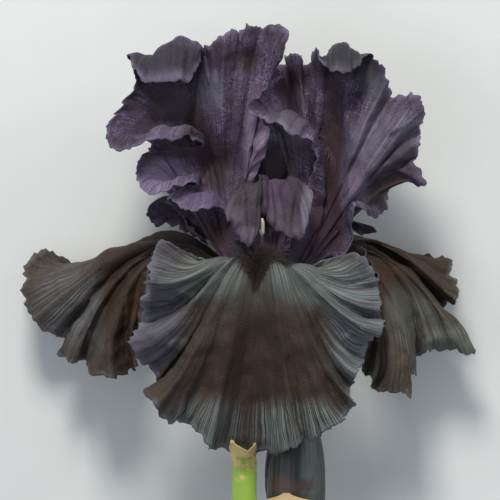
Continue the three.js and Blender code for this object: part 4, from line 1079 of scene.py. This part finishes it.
paper = {name: spatheMaterial(name + "Paper", look) for name, look in spatheLooks.items()}
for number, (name, valve) in enumerate(valves.items()):
    piece = valveObject(name + "_valve", valve, 700 + number)
    dress(piece, name, valve["slot"], paper[valve["slot"]])

budLook = {
    "dark": (0.024, 0.02, 0.018), "light": (0.05, 0.055, 0.05), "paintedHighlight": (0.1, 0.125, 0.11),
    "band": (0.06, 0.03, 0.02), "rough": 0.4,
}


def budMaterial(look):
    finish = Finish("budSatin")
    around, along = finish.veins()
    place = finish.place()
    fibre = finish.noise(finish.vector(around * 90.0 + along * 8.0, along * 2.0), 1.0)
    cloud = finish.noise(place, 110.0)
    crepe = finish.noise(place, 1700.0, 2.0, 0.6)
    colour = finish.mix((fibre * 0.7 + cloud * 0.3).step(0.4, 0.7), look["dark"], look["light"])
    # a painted highlight down the bud's right side, broken up by its fibres
    colour = finish.mix(finish.near(place, (16, -70), (4.5, 16)) * (0.4 + 0.6 * fibre), colour, look["paintedHighlight"])
    colour = finish.mix(finish.near(place, (8.3, -73.6), (13, 3.4)) * 0.8, colour, look["band"])
    return finish.done(
        colour, look["rough"] + 0.12 * crepe, fibre * 0.7 + crepe * 0.3, bump=0.4, depth=0.0003,
        Sheen_Weight=0.09, Sheen_Roughness=0.4, Sheen_Tint=(0.8, 0.85, 0.78, 1),
    )


furl = limbObject("bud_furl", budLine, budRadius, 110, 132, (budBase, 1))
dress(furl, "bud", "bud", budMaterial(budLook))
print("spathes and bud made")


# The table, the studio round it, and the camera, in metres.
stage = {
    "tableHalf": 3, "tableTones": ((0.66, 0.67, 0.65), (0.72, 0.73, 0.71)), "tableSpeckle": 40,
    "skyTint": (0.8, 0.88, 1, 1), "skyStrength": 0.37,
    "lightsAim": (0, 0.04, 0.03),
}
lights = {
    "key": {"at": (-0.15, 0.95, 0.85), "size": 0.35, "power": 13.5, "tint": (1, 0.97, 0.92)},
    "fill": {"at": (-0.9, -0.1, 0.9), "size": 0.9, "power": 3.5, "tint": (0.86, 0.92, 1)},
    "rim": {"at": (0.9, 0.5, 0.5), "size": 0.5, "power": 3, "tint": (0.95, 0.97, 1)},
}
view = {
    "centre": (0.0003, 0.0399),    # what the middle of the picture looks at
    "level": 0.04,                 # height of the flower's middle above the table
    "distance": 2.2,
    "width": 0.16667,              # how much of the flower's level the picture spans
}
half = stage["tableHalf"]
floorMesh = bpy.data.meshes.new("table")
tableCorners = [(-half, -half, 0), (half, -half, 0), (half, half, 0), (-half, half, 0)]
floorMesh.from_pydata(tableCorners, [], [(0, 1, 2, 3)])
table = placed("table", floorMesh)
tableFinish = Finish("paleTable")
speckle = tableFinish.noise(tableFinish.place(), stage["tableSpeckle"], 3.0)
tableColour = tableFinish.mix(speckle, *stage["tableTones"])
floorMesh.materials.append(tableFinish.done(tableColour, 0.85 + 0.05 * speckle))

world = bpy.data.worlds.new("studio")
bpy.context.scene.world = world
world.use_nodes = True
world.node_tree.nodes["Background"].inputs["Color"].default_value = stage["skyTint"]
world.node_tree.nodes["Background"].inputs["Strength"].default_value = stage["skyStrength"]

for name, light in lights.items():
    data = bpy.data.lights.new(name, "AREA")
    data.size = light["size"]
    data.energy = light["power"]
    data.color = light["tint"]
    lamp = placed(name, data)
    lamp.location = light["at"]
    aim = vec(*stage["lightsAim"]) - vec(*light["at"])
    lamp.rotation_euler = Vector(aim).to_track_quat("-Z", "Y").to_euler()
    lamp.visible_camera = False

cameraData = bpy.data.cameras.new("camera")
cameraData.sensor_width = 36
cameraData.lens = 36 * view["distance"] / view["width"]
cameraData.clip_end = 20
camera = placed("camera", cameraData)
camera.location = (*view["centre"], view["level"] + view["distance"])
bpy.context.scene.camera = camera
bpy.context.scene.view_settings.view_transform = "Standard"
print("stage, lights and camera set")
